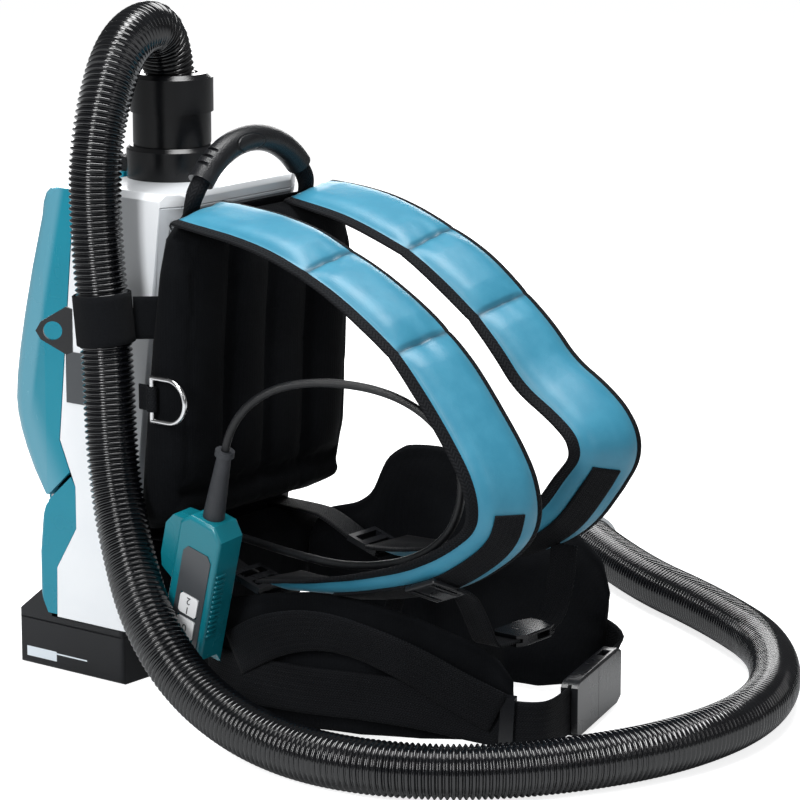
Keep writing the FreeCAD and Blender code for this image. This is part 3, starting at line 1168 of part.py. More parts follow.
def buckle(words, names, pose, web):
    """A side-release buckle: a half with three prongs and a hollow half with side windows, along the local X."""
    body, prong, socket, wide, thick = (f"Size.{name}" for name in names)
    half = f"({wide} / 2)"
    slit = f"({web} / 2 + 0.8)"
    male = new_body(f"{words[0]}_body")
    plan = [("3", f"-{half} + 3"), ("9", f"-{half}"), (body, f"-{half}"), (body, half), ("9", half), ("3", f"{half} - 3"),
            ("0", f"{half} - 5"), ("0", f"-{half} + 5")]
    extrude(male, "Pad", "XZ_Plane", [plan], thick, middle=True)
    soften(male, f"{thick} * 0.16", lambda e: e.Length > 8 and abs(e.CenterOfMass.x - SIZE[names[0]]) > 1
           and not along(e, "y", 3) and e.CenterOfMass.x > 2)
    tips = f"({body} + {prong})"
    prongs = [rectangle(f"{body} - 1", f"{tips} - 4", "-2.5", "2.5")]
    for way in (-1, 1):
        prongs.append([
            (f"{body} - 1", f"{way} * ({half} - 9)"), (f"{tips} - 3", f"{way} * ({half} - 9)"),
            (tips, f"{way} * ({half} - 7)"), (f"{tips} - 8", f"{way} * ({half} - 3.4)"),
            (f"{tips} - 9", f"{way} * ({half} - 5.6)"), (f"{body} - 1", f"{way} * ({half} - 5.6)"),
        ])
    extrude(male, "Pad", "XZ_Plane", prongs, f"{thick} * 0.42", middle=True)
    extrude(male, "Pocket", "XZ_Plane", [rectangle("-1", f"{body} - 2", f"-{slit}", slit)],
            "Size.web_thick + 2 * Size.slide_gap", middle=True)
    female = new_body(f"{words[1]}_body")
    face, end = f"({body} + Size.run_gap)", f"({body} + {socket})"
    plan = [(face, f"-{half}"), (f"{end} - 10", f"-{half}"), (end, f"-{half} + 4"), (end, f"{half} - 4"),
            (f"{end} - 10", half), (face, half)]
    extrude(female, "Pad", "XZ_Plane", [plan], thick, middle=True)
    soften(female, f"{thick} * 0.16", lambda e: e.Length > 8 and abs(e.CenterOfMass.x - SIZE[names[0]]) > 1
           and not along(e, "y", 3))
    cavity = rectangle(body, f"{tips} + 2", f"-{half} + 2.6", f"{half} - 2.6")
    windows = [rectangle(f"{tips} - 15", f"{tips} + 1", f"{way} * {half} - 4", f"{way} * {half} + 4") for way in (-1, 1)]
    entry = rectangle(f"{end} - 6", f"{end} + 1", f"-{slit}", slit)
    extrude(female, "Pocket", "XZ_Plane", [cavity], f"{thick} * 0.42 + 2 * Size.slide_gap", middle=True)
    extrude(female, "Pocket", "XZ_Plane", windows, f"{thick} * 0.42 + 2 * Size.slide_gap", middle=True)
    extrude(female, "Pocket", "XZ_Plane", [entry], "Size.web_thick + 2 * Size.slide_gap", middle=True)
    for item, node in zip((male, female), words):
        item.Placement = Placement(Vector(0, 0, pose[0].z), pose[1])
        keep(item, node, across=repr(pose[0].x), deep=repr(pose[0].y))


def buckles():
    """Large waist buckle that stands on edge, and the small chest clip that lies flat."""
    turned = Rotation(Vector(0, 0, 1), math.degrees(math.atan2(BUCKLE_WAY.y, BUCKLE_WAY.x)))
    names = ("buckle_body", "buckle_prong", "buckle_socket", "buckle_width", "buckle_thick")
    buckle(("buckle_male", "buckle_female"), names, (BUCKLE_START, turned), "Size.web_width")
    names = ("clip_body", "clip_prong", "clip_socket", "clip_width", "clip_thick")
    flat = Rotation(Vector(1, 0, 0), 90)
    buckle(("chest_clip_male", "chest_clip_female"), names, (Vector(0, -290, 80), flat), "Size.chest_web_width")
    keeper()
    chest_strap()


def keeper():
    """Moulded loop that holds the loose webbing together."""
    start, end = Vector(-45, -302, 28), Vector(-30, -338, 26)
    middle, way = (start + end) / 2, unit(end - start)
    up = unit(Vector(0, 0, 1) - way * way.z)
    side = unit(way.cross(up))

    def loop(tall, thick, long):
        corners = [middle + up * (a * tall / 2) + side * (b * thick / 2) - way * (long / 2)
                   for a, b in ((-1, -1), (1, -1), (1, 1), (-1, 1))]
        return Part.Face(Part.makePolygon(corners + corners[:1])).extrude(way * long)

    tall, thick = SIZE["web_width"], SIZE["web_thick"]
    gap = SIZE["slide_gap"]
    feature("webbing_keeper", loop(tall + 6, thick + 6, 11).cut(loop(tall + 2 * gap, thick + 2 * gap, 20)))


def chest_strap():
    """Chest webbing: from under the near strap to the clip, and from the clip up to the far strap."""
    width, thick = SIZE["chest_web_width"], SIZE["web_thick"]
    y = -290
    near = [Vector(-66, y, 134.5), Vector(-54, y, 129), Vector(-42, y, 112), Vector(-32, y, 94), Vector(-25, y, 82.5),
            Vector(-18, y, 80), Vector(3, y, 80)]
    end = SIZE["clip_body"] + SIZE["clip_socket"]
    far = [Vector(end - 4, y, 80), Vector(end + 8, y, 81.5), Vector(68, y, 96), Vector(75, y, 118), Vector(77, y, 140)]
    solids = [strip(path, Vector(0, 1, 0), width, thick, flat_wire) for path in (near, far)]
    feature("chest_webbing", Part.Compound(solids))


# D-rings
def d_ring(node, turned, spot):
    """A welded wire ring: a straight bar, two legs and a bow, in the local XY plane."""
    wire, bow, neck = "Size.ring_wire", "Size.ring_bow", "Size.ring_neck"
    bar = rod(f"{node}_bar", wire, f"2 * {bow}", f"-{bow}", "0", "0", "x")
    legs = [rod(f"{node}_leg_{side}", wire, neck, f"{side} * {bow}", "0", "0", "y") for side in (-1, 1)]
    ends = []
    for side in (-1, 1):
        ball = DOC.addObject("Part::Sphere", f"{node}_corner_{side}")
        bind(ball, Radius=wire, Placement__Base__x=f"{side} * {bow}")
        ends.append(ball)
    bend = DOC.addObject("Part::Torus", f"{node}_bow")
    bend.Angle3 = 180
    bind(bend, Radius1=bow, Radius2=wire, Placement__Base__y=neck)
    ring = fuse(f"{node}_ring", [bar, bend] + legs + ends)
    ring.Placement = Placement(Vector(), turned)
    bind(ring, Placement__Base__z=f"Size.{spot}_z")
    return keep(ring, node, across=f"Size.{spot}_x", deep=f"Size.{spot}_y")


def d_rings():
    """One ring beside the back pad and one on the belt, each in a folded webbing tab."""
    upright = Rotation(Vector(0, 0, 1), Vector(0, -1, 0), Vector(1, 0, 0), "XYZ")
    level = Rotation(Vector(0, 1, 0), Vector(1, 0, 0), Vector(0, 0, -1), "XYZ")
    d_ring("d_ring_pad", upright, "pad_ring")
    d_ring("d_ring_belt", level, "belt_ring")
    inner = SIZE["ring_wire"] + SIZE["run_gap"]
    outer = inner + SIZE["web_thick"]
    x, y, z = (SIZE[f"pad_ring_{axis}"] for axis in "xyz")
    low = Vector(x, y, z - 10)
    fold = Part.makeCylinder(outer, 20, low).cut(Part.makeCylinder(inner, 20, low))
    tail = Part.makeBox(1.4, 16, 20, Vector(x + outer - 1.4, y, z - 10))
    first = fold.fuse(tail.cut(Part.makeCylinder(inner, 20, low)))
    x, y, z = (SIZE[f"belt_ring_{axis}"] for axis in "xyz")
    side = Vector(x, y - 10, z)
    fold = Part.makeCylinder(outer, 20, side, Vector(0, 1, 0)).cut(Part.makeCylinder(inner, 20, side, Vector(0, 1, 0)))
    path = [Vector(x - inner - 0.6, y, z + 0.6), Vector(x - 12, y, z + 1.5), Vector(x - 19, y, z + 5),
            Vector(x - 25.4, y, z + 13), Vector(x - 26.0, y, z + 24)]
    tail = strip(path, Vector(0, 1, 0), 20, SIZE["web_thick"], flat_wire)
    second = fold.fuse(tail.cut(Part.makeCylinder(inner, 22, side - Vector(0, 1, 0), Vector(0, 1, 0))))
    feature("d_ring_tabs", Part.Compound([first, second]))


# Cords: chosen corner points joined by straight runs and tangent arcs
HOSE_ROUTE = [(0, 45, 447), (0, 45, 533), (-76.1, 28, 530), (-116.6, 19.1, 462), (-118.5, 22, 395), (-117, 12, 290),
              (-121, 5, 196), (-134, -20, 139), (-157.5, -62, 89), (-166, -114, 44), (-178, -200, 21.6),
              (-176, -296, 21.6), (-122, -380, 21.6), (0, -445, 21.6), (140, -446, 21.6), (270, -366, 21.6),
              (340, -262, 21.6), (402, -130, 21.6), (471, -34, 25)]
CABLE_ROUTE = [(-118, -175, 290), (-95, -262, 288), (-78, -306, 245), (-70, -300, 190),
               (-68, -262, 153), (-64, -190, 133), (-58, -115, 134), (-45, -58, 135)]


def stations(route, name, spacing=0.2):
    """Points and directions along a route, with a tangent arc at each corner; prints the arcs' radii."""
    points = [Vector(*point) for point in route]
    found = [(points[0], unit(points[1] - points[0]))]
    radii = []
    for before, corner, after in zip(points, points[1:], points[2:]):
        come, leave = unit(corner - before), unit(after - corner)
        turn_by = math.acos(max(-1.0, min(1.0, come.dot(leave))))
        shorter = min((corner - before).Length, (after - corner).Length)
        radius = 0.45 * shorter / math.tan(turn_by / 2)
        radii.append(radius)
        start = corner - come * (0.45 * shorter)
        inward = unit(leave - come * come.dot(leave))
        centre = start + inward * radius
        steps = max(2, int(math.ceil(turn_by / spacing)))
        for step in range(steps + 1):
            angle = turn_by * step / steps
            point = centre - inward * (radius * math.cos(angle)) + come * (radius * math.sin(angle))
            found.append((point, come * math.cos(angle) + inward * math.sin(angle)))
    found.append((points[-1], unit(points[-1] - points[-2])))
    print(f"{name} arc radii:", " ".join(f"{radius:.0f}" for radius in radii))
    return found


def frames(found):
    """Carry one side direction along the stations without twist."""
    side = unit(Vector(1, 0, 0) - found[0][1] * found[0][1].x) if abs(found[0][1].x) < 0.9 else Vector(0, 1, 0)
    result = []
    for point, way in found:
        side = unit(side - way * side.dot(way))
        result.append((point, way, side))
    return result


def ring_wire_at(point, way, side, radius):
    """A circle square to the route, its seam on the carried side."""
    circle = Part.Circle(Vector(), Vector(0, 0, 1), radius).toShape()
    circle.Placement = Placement(point, Rotation(side, way.cross(side), way, "ZXY"))
    return Part.Wire([circle])


def lengths_along(found):
    total = [0.0]
    for first, second in zip(found, found[1:]):
        total.append(total[-1] + (second[0] - first[0]).Length)
    return total


def place_at(found, total, distance):
    """Point and direction at a distance along the stations."""
    for index in range(len(total) - 1):
        if distance <= total[index + 1] or index == len(total) - 2:
            share = (distance - total[index]) / max(total[index + 1] - total[index], 1e-9)
            point = found[index][0] + (found[index + 1][0] - found[index][0]) * share
            way = unit(found[index][1] + (found[index + 1][1] - found[index][1]) * share)
            return point, way
    return found[-1]


def hollow_loft(outer, inner):
    """A tube wall between two rows of circles, closed by a flat ring at each end."""
    faces = Part.makeLoft(outer, False, True).Faces + Part.makeLoft(inner, False, True).Faces
    for end in (0, -1):
        faces.append(Part.Face([outer[end], inner[end]], "Part::FaceMakerBullseye"))
    shell = Part.makeShell(faces)
    shell.sewShape()
    solid = Part.makeSolid(shell)
    if solid.Volume < 0:
        solid.reverse()
    return solid


def ribbed_hose():
    """Suction hose: a thin wall with ribs all along, smooth for a diameter at both ends, and an open bore."""
    found = stations(HOSE_ROUTE, "hose", 0.16)
    total = lengths_along(found)
    radius, valley, bore = SIZE["hose_radius"], SIZE["hose_valley"], SIZE["hose_bore"]
    ribs = int(SIZE["hose_ribs"])
    plain = 2 * radius
    pitch = (total[-1] - 2 * plain) / ribs
    marks = [(0.0, radius)]
    for rib in range(ribs):
        start = plain + rib * pitch
        marks += [(start + 0.02 * pitch, radius if rib == 0 else valley), (start + 0.30 * pitch, valley),
                  (start + 0.42 * pitch, radius), (start + 0.88 * pitch, radius)]
    marks.append((total[-1] - plain, radius))
    marks.append((total[-1], radius))
    spots = frames([place_at(found, total, distance) for distance, _ in marks])
    outer = [ring_wire_at(*spot, size) for spot, (_, size) in zip(spots, marks)]
    inner = [ring_wire_at(*spot, bore) for index, spot in enumerate(spots) if index % 2 == 0 or index == len(spots) - 1]
    solid = hollow_loft(outer, inner)
    print(f"hose: length {total[-1]:.0f}, volume {solid.Volume:.0f}, full tube "
          f"{math.pi * (radius ** 2 - bore ** 2) * total[-1]:.0f}")
    feature("hose", solid)
    return found, total


def hose_pieces():
    """The hose, the cuff on its far end and the hook-and-loop strap that holds it beside the body."""
    found, total = ribbed_hose()
    end, way = found[-1]
    radius, overlap, gap = SIZE["hose_radius"], 20.0, SIZE["run_gap"]
    cuff = new_body("cuff_body")
    outer, bore, long = "Size.cuff_radius", "Size.cuff_bore", "Size.cuff_length"
    socket = "(Size.hose_radius + Size.run_gap)"
    profile = [(socket, f"-{overlap}"), (f"{outer} + 1.5", f"-{overlap}"), (f"{outer} + 1.5", "4"), (outer, "12"),
               (outer, f"{long} - 6"), (f"{outer} + 1", f"{long} - 5"), (f"{outer} + 1", long), (bore, long),
               (bore, "Size.run_gap"), (socket, "Size.run_gap")]
    turn(cuff, "Revolution", profile)
    side = unit(Vector(0, 0, 1) - way * way.z)
    cuff.Placement = Placement(Vector(0, 0, end.z), Rotation(side, way.cross(side), way, "ZXY"))
    keep(cuff, "hose_cuff", across=repr(end.x), deep=repr(end.y))
    held = [place_at(found, total, distance) for distance in strap_marks(found, total)]
    spots = frames(held)
    thick = SIZE["web_thick"]
    band = hollow_loft([ring_wire_at(*spot, radius + gap + thick) for spot in spots],
                       [ring_wire_at(*spot, radius + gap) for spot in spots])
    low, high = spots[0][0], spots[-1][0]
    middle = (low + high) / 2
    edge = Vector(-SIZE["frame_width"] / 2 - gap, front_line(middle.z) + SIZE["frame_thick"] * 0.7, middle.z)
    reach = unit(Vector(edge.x - middle.x, edge.y - middle.y, 0))
    start = middle + reach * (radius + gap + thick * 0.8)
    tie = strip([start, (start + edge) / 2, edge - reach * 1.2], Vector(0, 0, 1), SIZE["hose_strap_width"] - 6, thick, flat_wire)
    feature("hose_strap", band.fuse(tie).removeSplitter())
    return middle


def strap_marks(found, total):
    """Three places along the hose under the strap, from its lower to its upper edge."""
    half = SIZE["hose_strap_width"] / 2
    level = SIZE["hose_strap_z"]
    falling = [(distance, spot[0].z) for distance, spot in zip(total, found) if spot[0].x < -100]
    for (near, high), (far, low) in zip(falling, falling[1:]):
        if low <= level <= high:
            centre = near + (far - near) * (high - level) / (high - low)
            return [centre + half, centre, centre - half][::-1]
    raise RuntimeError("the hose doesn't pass the strap's height")


def strap_plate(middle):
    """Rounded three-sided plate with a hole, standing out from the hose strap."""
    body = new_body("strap_plate_body")
    inner = "(Size.hose_radius + Size.run_gap + Size.web_thick + 2)"
    plan = [(inner, "-17"), (f"{inner} + 5", "-19"), (f"{inner} + 25", "-7"), (f"{inner} + 29", "0"),
            (f"{inner} + 25", "7"), (f"{inner} + 5", "19"), (inner, "17")]
    hole = (f"{inner} + 15.5", "0", "Size.plate_hole")
    extrude(body, "Pad", "XZ_Plane", [plan], "Size.strap_plate_thick", middle=True, circles=[hole])
    body.Placement = Placement(Vector(0, 0, middle.z - 10), Rotation(Vector(0, 0, 1), 124.8))
    keep(body, "strap_plate", across=repr(round(middle.x - 0.4, 3)), deep=repr(round(middle.y - 1.0, 3)))


# Wired remote, built upright with its front at the local XZ plane
REMOTE_TURN = Rotation(-88.94, 16.3, 4.81)


def on_remote(item, node):
    item.Placement = Placement(Vector(), REMOTE_TURN)
    bind(item, Placement__Base__z="Size.remote_z")
    return keep(item, node, across="Size.remote_x", deep="Size.remote_y")


def remote():
    """Two moulded halves, a face plate, two buttons, a belt clip and the cable's strain relief."""
    wide, deep, tall = "Size.remote_width", "Size.remote_deep", "Size.remote_long"
    split = f"({deep} * 0.52)"
    front = new_body("remote_front_body")
    plan = [("3", "0"), (f"{wide} - 3", "0"), (wide, "4"), (wide, f"{tall} - 10"), (f"{wide} - 9", tall), ("9", tall),
            ("0", f"{tall} - 9"), ("0", "4")]
    extrude(front, "Pad", "XZ_Plane", [plan], split, back=True)
    soften(front, "3.5", lambda e: abs(e.CenterOfMass.y) < 0.01)
    for level in ("high", "low"):
        extrude(front, "Pocket", "XZ_Plane", [key_plan(level, "Size.slide_gap")], "Size.key_travel + 6", "1")
    seat = rod("relief_seat", "Size.relief_foot + Size.fit_gap", "9", f"{wide} / 2", f"{deep} / 2", f"{tall} - 8")
    keep_front = cut("remote_front_cut", front, fuse("remote_front_cuts", [seat, remote_heel("front")]))
    on_remote(keep_front, "remote_front")
    rear = new_body("remote_back_body")
    lobe = "Size.remote_lobe"
    outline = [(f"-{lobe} + 3", "70"), ("0", "62"), ("0", "4"), ("3", "0"), (f"{wide} - 3", "0"), (wide, "4"),
               (wide, f"{tall} - 10"), (f"{wide} - 9", tall), ("9", tall), ("0", f"{tall} - 9"), (f"-{lobe} + 6", "117"),
               (f"-{lobe}", "107"), (f"-{lobe}", "80")]
    extrude(rear, "Pad", "XZ_Plane", [outline], f"{deep} - {split}", f"-{split}", back=True)
    wing = [("-Size.run_gap", "63"), ("-Size.run_gap", "118"), (f"-{lobe} + 6", "117"), (f"-{lobe}", "107"),
            (f"-{lobe}", "80"), (f"-{lobe} + 3", "70")]
    extrude(rear, "Pad", "XZ_Plane", [wing], f"{split} - 7 + 1", "-7", back=True)
    far_edges = lambda e: abs(e.CenterOfMass.y - SIZE["remote_deep"]) < 0.01
    soften(rear, "3", far_edges)
    on_remote(cut("remote_back_cut", rear, fuse("remote_back_cuts", [seat, remote_heel("back")])), "remote_back")
    plate = new_body("face_plate_body")
    low = "Size.remote_foot + 4"
    sheet = [("9", low), ("36", low), ("37", f"{low} + 3"), ("37", "98"), ("33", "103"), ("13", "103"), ("9", "98")]
    extrude(plate, "Pad", "XZ_Plane", [sheet], "Size.face_thick")
    for level in ("high", "low"):
        extrude(plate, "Pocket", "XZ_Plane", [key_plan(level, "Size.slide_gap")], "6", "2")
    on_remote(plate, "remote_face_plate")
    for level, node in (("high", "power_button"), ("low", "off_button")):
        key = new_body(f"{node}_body")
        extrude(key, "Pad", "XZ_Plane", [key_plan(level, "0")], "Size.face_thick + Size.key_proud + 4", "-4")
        soften(key, "2.5", lambda e: along(e, "y", 3))
        on_remote(key, node)
    clip_and_relief(wide, deep, tall)


def remote_heel(word):
    """What is cut away at the remote's lower end, so that its front slopes back to its heel."""
    body = new_body(f"remote_heel_{word}")
    deep, foot = "Size.remote_deep", "Size.remote_foot"
    side = [("-5", "-5"), (f"{deep} + 5", "-5"), (f"{deep} + 5", "2"), (deep, "2"), (f"{deep} - 8", f"{foot} - 1.5"),
            ("-5", foot)]
    extrude(body, "Pad", "YZ_Plane", [side], "4 * Size.remote_width", middle=True)
    return body


def key_plan(level, grow):
    half, rise = f"(Size.key_wide / 2 + {grow})", f"(Size.key_tall / 2 + {grow})"
    middle, height = "Size.key_middle", f"Size.key_{level}"
    return rectangle(f"{middle} - {half}", f"{middle} + {half}", f"{height} - {rise}", f"{height} + {rise}")


def clip_and_relief(wide, deep, tall):
    """Belt clip on the back and the tapered strain relief on top."""
    clip = new_body("belt_clip_body")
    foot = f"({deep} + Size.run_gap)"
    side = [(foot, f"{tall} - 28"), (foot, f"{tall} - 14"), (f"{foot} + 3", f"{tall} - 11"), (f"{foot} + 6", f"{tall} - 15"),
            (f"{foot} + 6", "62"), (f"{foot} + 9", "52"), (f"{foot} + 6.5", "52"), (f"{foot} + 3.5", "60"),
            (f"{foot} + 3.5", f"{tall} - 28")]
    extrude(clip, "Pad", "YZ_Plane", [side], "Size.clip_wide", f"{wide} / 2", middle=True)
    on_remote(clip, "belt_clip")
    relief = new_body("relief_body")
    low, high = f"({tall} - 8)", f"({tall} + Size.relief_length)"
    hole = "Size.cable_radius"
    profile = [(hole, low), ("Size.relief_foot", low), ("Size.relief_foot", f"{tall} + 2"), ("Size.relief_tip", f"{high} - 5"),
               ("Size.relief_tip + 2", f"{high} - 4.5"), ("Size.relief_tip + 2", high), (hole, high)]
    profile = [("0" if radius == hole else radius, level) for radius, level in profile]
    turn(relief, "Revolution", profile)
    offset = Vector(SIZE["remote_width"] / 2, SIZE["remote_deep"] / 2, 0)
    shift = REMOTE_TURN.multVec(offset)
    relief.Placement = Placement(Vector(), REMOTE_TURN)
    bind(relief, Placement__Base__z=f"Size.remote_z + {shift.z:.4f}")
    keep(relief, "strain_relief", across=f"(Size.remote_x + {shift.x:.4f})", deep=f"(Size.remote_y + {shift.y:.4f})")
    tip = REMOTE_TURN.multVec(offset + Vector(0, 0, SIZE["remote_long"] + SIZE["relief_length"]))
    rise = REMOTE_TURN.multVec(Vector(0, 0, 31))
    start = tip + Vector(SIZE["remote_x"], SIZE["remote_y"], SIZE["remote_z"])
    remote_cable(start, start + rise)


def remote_cable(start, first_corner):
    """Cable from the strain relief over the near strap to the gland in the frame."""
    gland_face = front_line(SIZE["gland_z"]) - 6
    route = [tuple(start), tuple(first_corner)] + CABLE_ROUTE + [(-SIZE["gland_x"], gland_face, SIZE["gland_z"])]
    found = frames(stations(route, "cable", 0.35))
    radius = SIZE["cable_radius"]
    solid = Part.makeLoft([ring_wire_at(*spot, radius) for spot in found], True, True)
    total = lengths_along(found)[-1]
    print(f"cable: length {total:.0f}, volume {solid.Volume:.0f}, round bar {math.pi * radius ** 2 * total:.0f}")
    print("cable start", [round(value, 2) for value in start])
    feature("remote_cable", solid)


def build():
    main_shell()
    base_shell()
    dust_cover()
    front_cover()
    shell_screws()
    hinge_pin()
    cover_latch()
    rating_plate()
    inlet_pieces()
    motor_pieces()
    dust_room_pieces()
    board_pieces()
    battery(-1, "near")
    battery(1, "far")
    back_frame()
    back_cushions()
    shoulder_straps()
    strap_ends()
    carry_handle()
    hip_pads()
    waist_belt()
    buckles()
    d_rings()
    strap_plate(hose_pieces())
    remote()


def check_and_export():
    """Recompute, look at every object and write one STEP file per node."""
    DOC.recompute()
    wrong = [item.Label for item in DOC.Objects if "Invalid" in item.State or "Error" in item.State]
    if wrong:
        raise RuntimeError(f"not computed: {wrong}")
    os.makedirs("parts", exist_ok=True)
    for item in NODES:
        if item.Shape.isNull() or not item.Shape.isValid():
            raise RuntimeError(f"bad shape: {item.Label}")
        item.Shape.exportStep(f"parts/{item.Label}.step")
    print(f"{len(NODES)} sub-parts written")


build()
check_and_export()
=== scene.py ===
# %% [markdown]
# # A backpack vacuum cleaner, dressed for its picture
# The solid parts come from CAD as a fixed frame. This lesson adds what CAD leaves plain: padded fabric,
# webbing, the ribbed hose, the cable, printed digits and a finish on every surface. All sizes are in metres.

import json
import math

import bmesh
import bpy
import numpy as np
from mathutils import Matrix, Vector


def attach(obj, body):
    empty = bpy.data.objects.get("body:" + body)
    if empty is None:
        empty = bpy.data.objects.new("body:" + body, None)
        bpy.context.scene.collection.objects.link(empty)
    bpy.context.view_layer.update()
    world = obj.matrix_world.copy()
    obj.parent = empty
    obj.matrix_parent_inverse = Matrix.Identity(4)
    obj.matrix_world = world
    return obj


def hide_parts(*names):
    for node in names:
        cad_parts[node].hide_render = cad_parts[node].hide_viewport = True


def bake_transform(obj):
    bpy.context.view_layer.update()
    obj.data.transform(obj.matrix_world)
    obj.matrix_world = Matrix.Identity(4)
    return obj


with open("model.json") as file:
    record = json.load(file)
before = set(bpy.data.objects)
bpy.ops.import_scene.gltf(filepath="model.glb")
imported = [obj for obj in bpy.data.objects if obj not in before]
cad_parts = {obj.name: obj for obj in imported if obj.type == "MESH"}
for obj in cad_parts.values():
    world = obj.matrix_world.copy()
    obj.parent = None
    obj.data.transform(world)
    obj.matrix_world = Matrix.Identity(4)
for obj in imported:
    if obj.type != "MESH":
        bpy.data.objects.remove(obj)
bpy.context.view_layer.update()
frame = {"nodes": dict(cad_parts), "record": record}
cad = frame["nodes"]
cad_slots = {item["node"]: item["material_slot"] for item in frame["record"]["subparts"]}
BODY_OF = {node: body for body, nodes in frame["record"]["behaviour"]["bodies"].items() for node in nodes}
print("pieces in the frame:", len(cad))

# %% [markdown]
# The routes below are written about the middle of the machine's own back. The frame has its origin under the
# middle of the whole object, so one shift carries every route point there.

# %% One shift for every route
MACHINE = Vector((-0.0111, 0.0887, 0.0))


def spots(points):
    return [Vector(point) + MACHINE for point in points]


# %% [markdown]
# The camera stands where the photographer's did: low, a little in front and to the wearer's right. A long
# lens far away keeps the upright edges of the body nearly parallel, as they are in the picture.

# %% Camera
EYE, AIM, LENS = Vector((-2.1904, -1.8011, 0.8625)), Vector((0.1185, 0.0028, 0.2183)), 164.25
bpy.ops.object.camera_add(location=EYE, rotation=(AIM - EYE).to_track_quat("-Z", "Y").to_euler())
camera = bpy.context.object
camera.data.lens, camera.data.sensor_width = LENS, 36.0
camera.data.clip_start, camera.data.clip_end = 0.05, 50.0
bpy.context.scene.camera = camera
print("camera distance", round((AIM - EYE).length, 3))

# %% [markdown]
# A node's output can take part in ordinary sums once it is wrapped: each sum adds the Math node that does
# it. That keeps a finish readable, because its pattern is written as the arithmetic that it is.


# %% Sums on node sockets
class Value:
    """The output of a node, on which sums can be written."""

    def __init__(self, finish, socket):
        self.finish, self.socket = finish, socket

    def math(self, operation, *others):
        return self.finish.node("ShaderNodeMath", {"operation": operation}, [self, *others])

    def __add__(self, other):
        return self.math("ADD", other)

    def __sub__(self, other):
        return self.math("SUBTRACT", other)

    def __mul__(self, other):
        return self.math("MULTIPLY", other)

    def __rsub__(self, other):
        return self.finish.node("ShaderNodeMath", {"operation": "SUBTRACT"}, [other, self])

    __radd__, __rmul__ = __add__, __mul__

    def sine(self):
        return self.math("SINE")

    def size(self):
        return self.math("ABSOLUTE")

    def part(self):
        return self.math("FRACT")

    def power(self, exponent):
        return self.math("POWER", exponent)

    def above(self, level):
        return self.math("GREATER_THAN", level)

    def step(self, low, high):
        """0 below low, 1 above high, and smooth between them."""
        return self.finish.node("ShaderNodeMapRange", {"interpolation_type": "SMOOTHSTEP"},
                                {"Value": self, "From Min": low, "From Max": high})


class Finish:
    """One surface finish: a material whose pattern is built from wrapped nodes."""

    def __init__(self, name, colour, roughness, **fixed):
        self.material = bpy.data.materials.new(name)
        self.material.use_nodes = True
        self.tree = self.material.node_tree
        self.shader = self.tree.nodes["Principled BSDF"]
        self.put("Base Color", (*colour, 1.0))
        self.put("Roughness", roughness)
        for socket, value in fixed.items():
            self.put(socket.replace("_", " "), value)
        self.bumps = None

    def node(self, kind, settings, sockets, output=0):
        made = self.tree.nodes.new(kind)
        for name, value in settings.items():
            setattr(made, name, value)
        pairs = enumerate(sockets) if isinstance(sockets, list) else sockets.items()
        for key, value in pairs:
            self.link(made.inputs[key], value)
        return Value(self, made.outputs[output])

    def link(self, socket, value):
        if isinstance(value, Value):
            self.tree.links.new(value.socket, socket)
        else:
            socket.default_value = value

    def put(self, socket, value):
        self.link(self.shader.inputs[socket], value)

    def place(self):
        return self.node("ShaderNodeTexCoord", {}, {}, "Object")

    def strip(self):
        """Distance along and across the cloth, in metres, from its own map."""
        flat = self.node("ShaderNodeUVMap", {"uv_map": "cloth"}, {})
        split = self.node("ShaderNodeSeparateXYZ", {}, [flat])
        return split, Value(self, split.socket.node.outputs[1])

    def axes(self):
        split = self.node("ShaderNodeSeparateXYZ", {}, [self.place()])
        return [Value(self, split.socket.node.outputs[index]) for index in range(3)]

    def noise(self, scale, detail=3.0, rough=0.55, stretch=(1, 1, 1)):
        at = self.node("ShaderNodeMapping", {}, {"Vector": self.place(), "Scale": stretch})
        return self.node("ShaderNodeTexNoise", {}, {"Vector": at, "Scale": scale, "Detail": detail,
                                                    "Roughness": rough})

    def grains(self, scale):
        return self.node("ShaderNodeTexVoronoi", {}, {"Vector": self.place(), "Scale": scale})

    def mix(self, share, first, second):
        made = self.node("ShaderNodeMix", {"data_type": "RGBA"}, {}, 2)
        for index, value in ((0, share), (6, first), (7, second)):
            plain = isinstance(value, (Value, float))
            self.link(made.socket.node.inputs[index], value if plain else (*value, 1.0))
        return made

    def bump(self, height, strength, depth):
        """Add relief, in metres of depth, on top of any relief before it."""
        sockets = {"Height": height, "Strength": strength, "Distance": depth}
        if self.bumps is not None:
            sockets["Normal"] = self.bumps
        self.bumps = self.node("ShaderNodeBump", {}, sockets)
        self.put("Normal", self.bumps)


finishes = {}


def paint(node, *names):
    """Give a CAD node or a new piece its finish."""
    piece = cad[node] if isinstance(node, str) else node
    piece.data.materials.clear()
    for name in names:
        piece.data.materials.append(finishes[name].material)


# %% [markdown]
# Moulded housings are glossy but never perfect: the mould leaves a very faint orange peel, handling leaves
# small dull marks, and dust settles on faces that look up. Each plastic below is a colour with these three,
# in its own amounts, so one function makes them all.


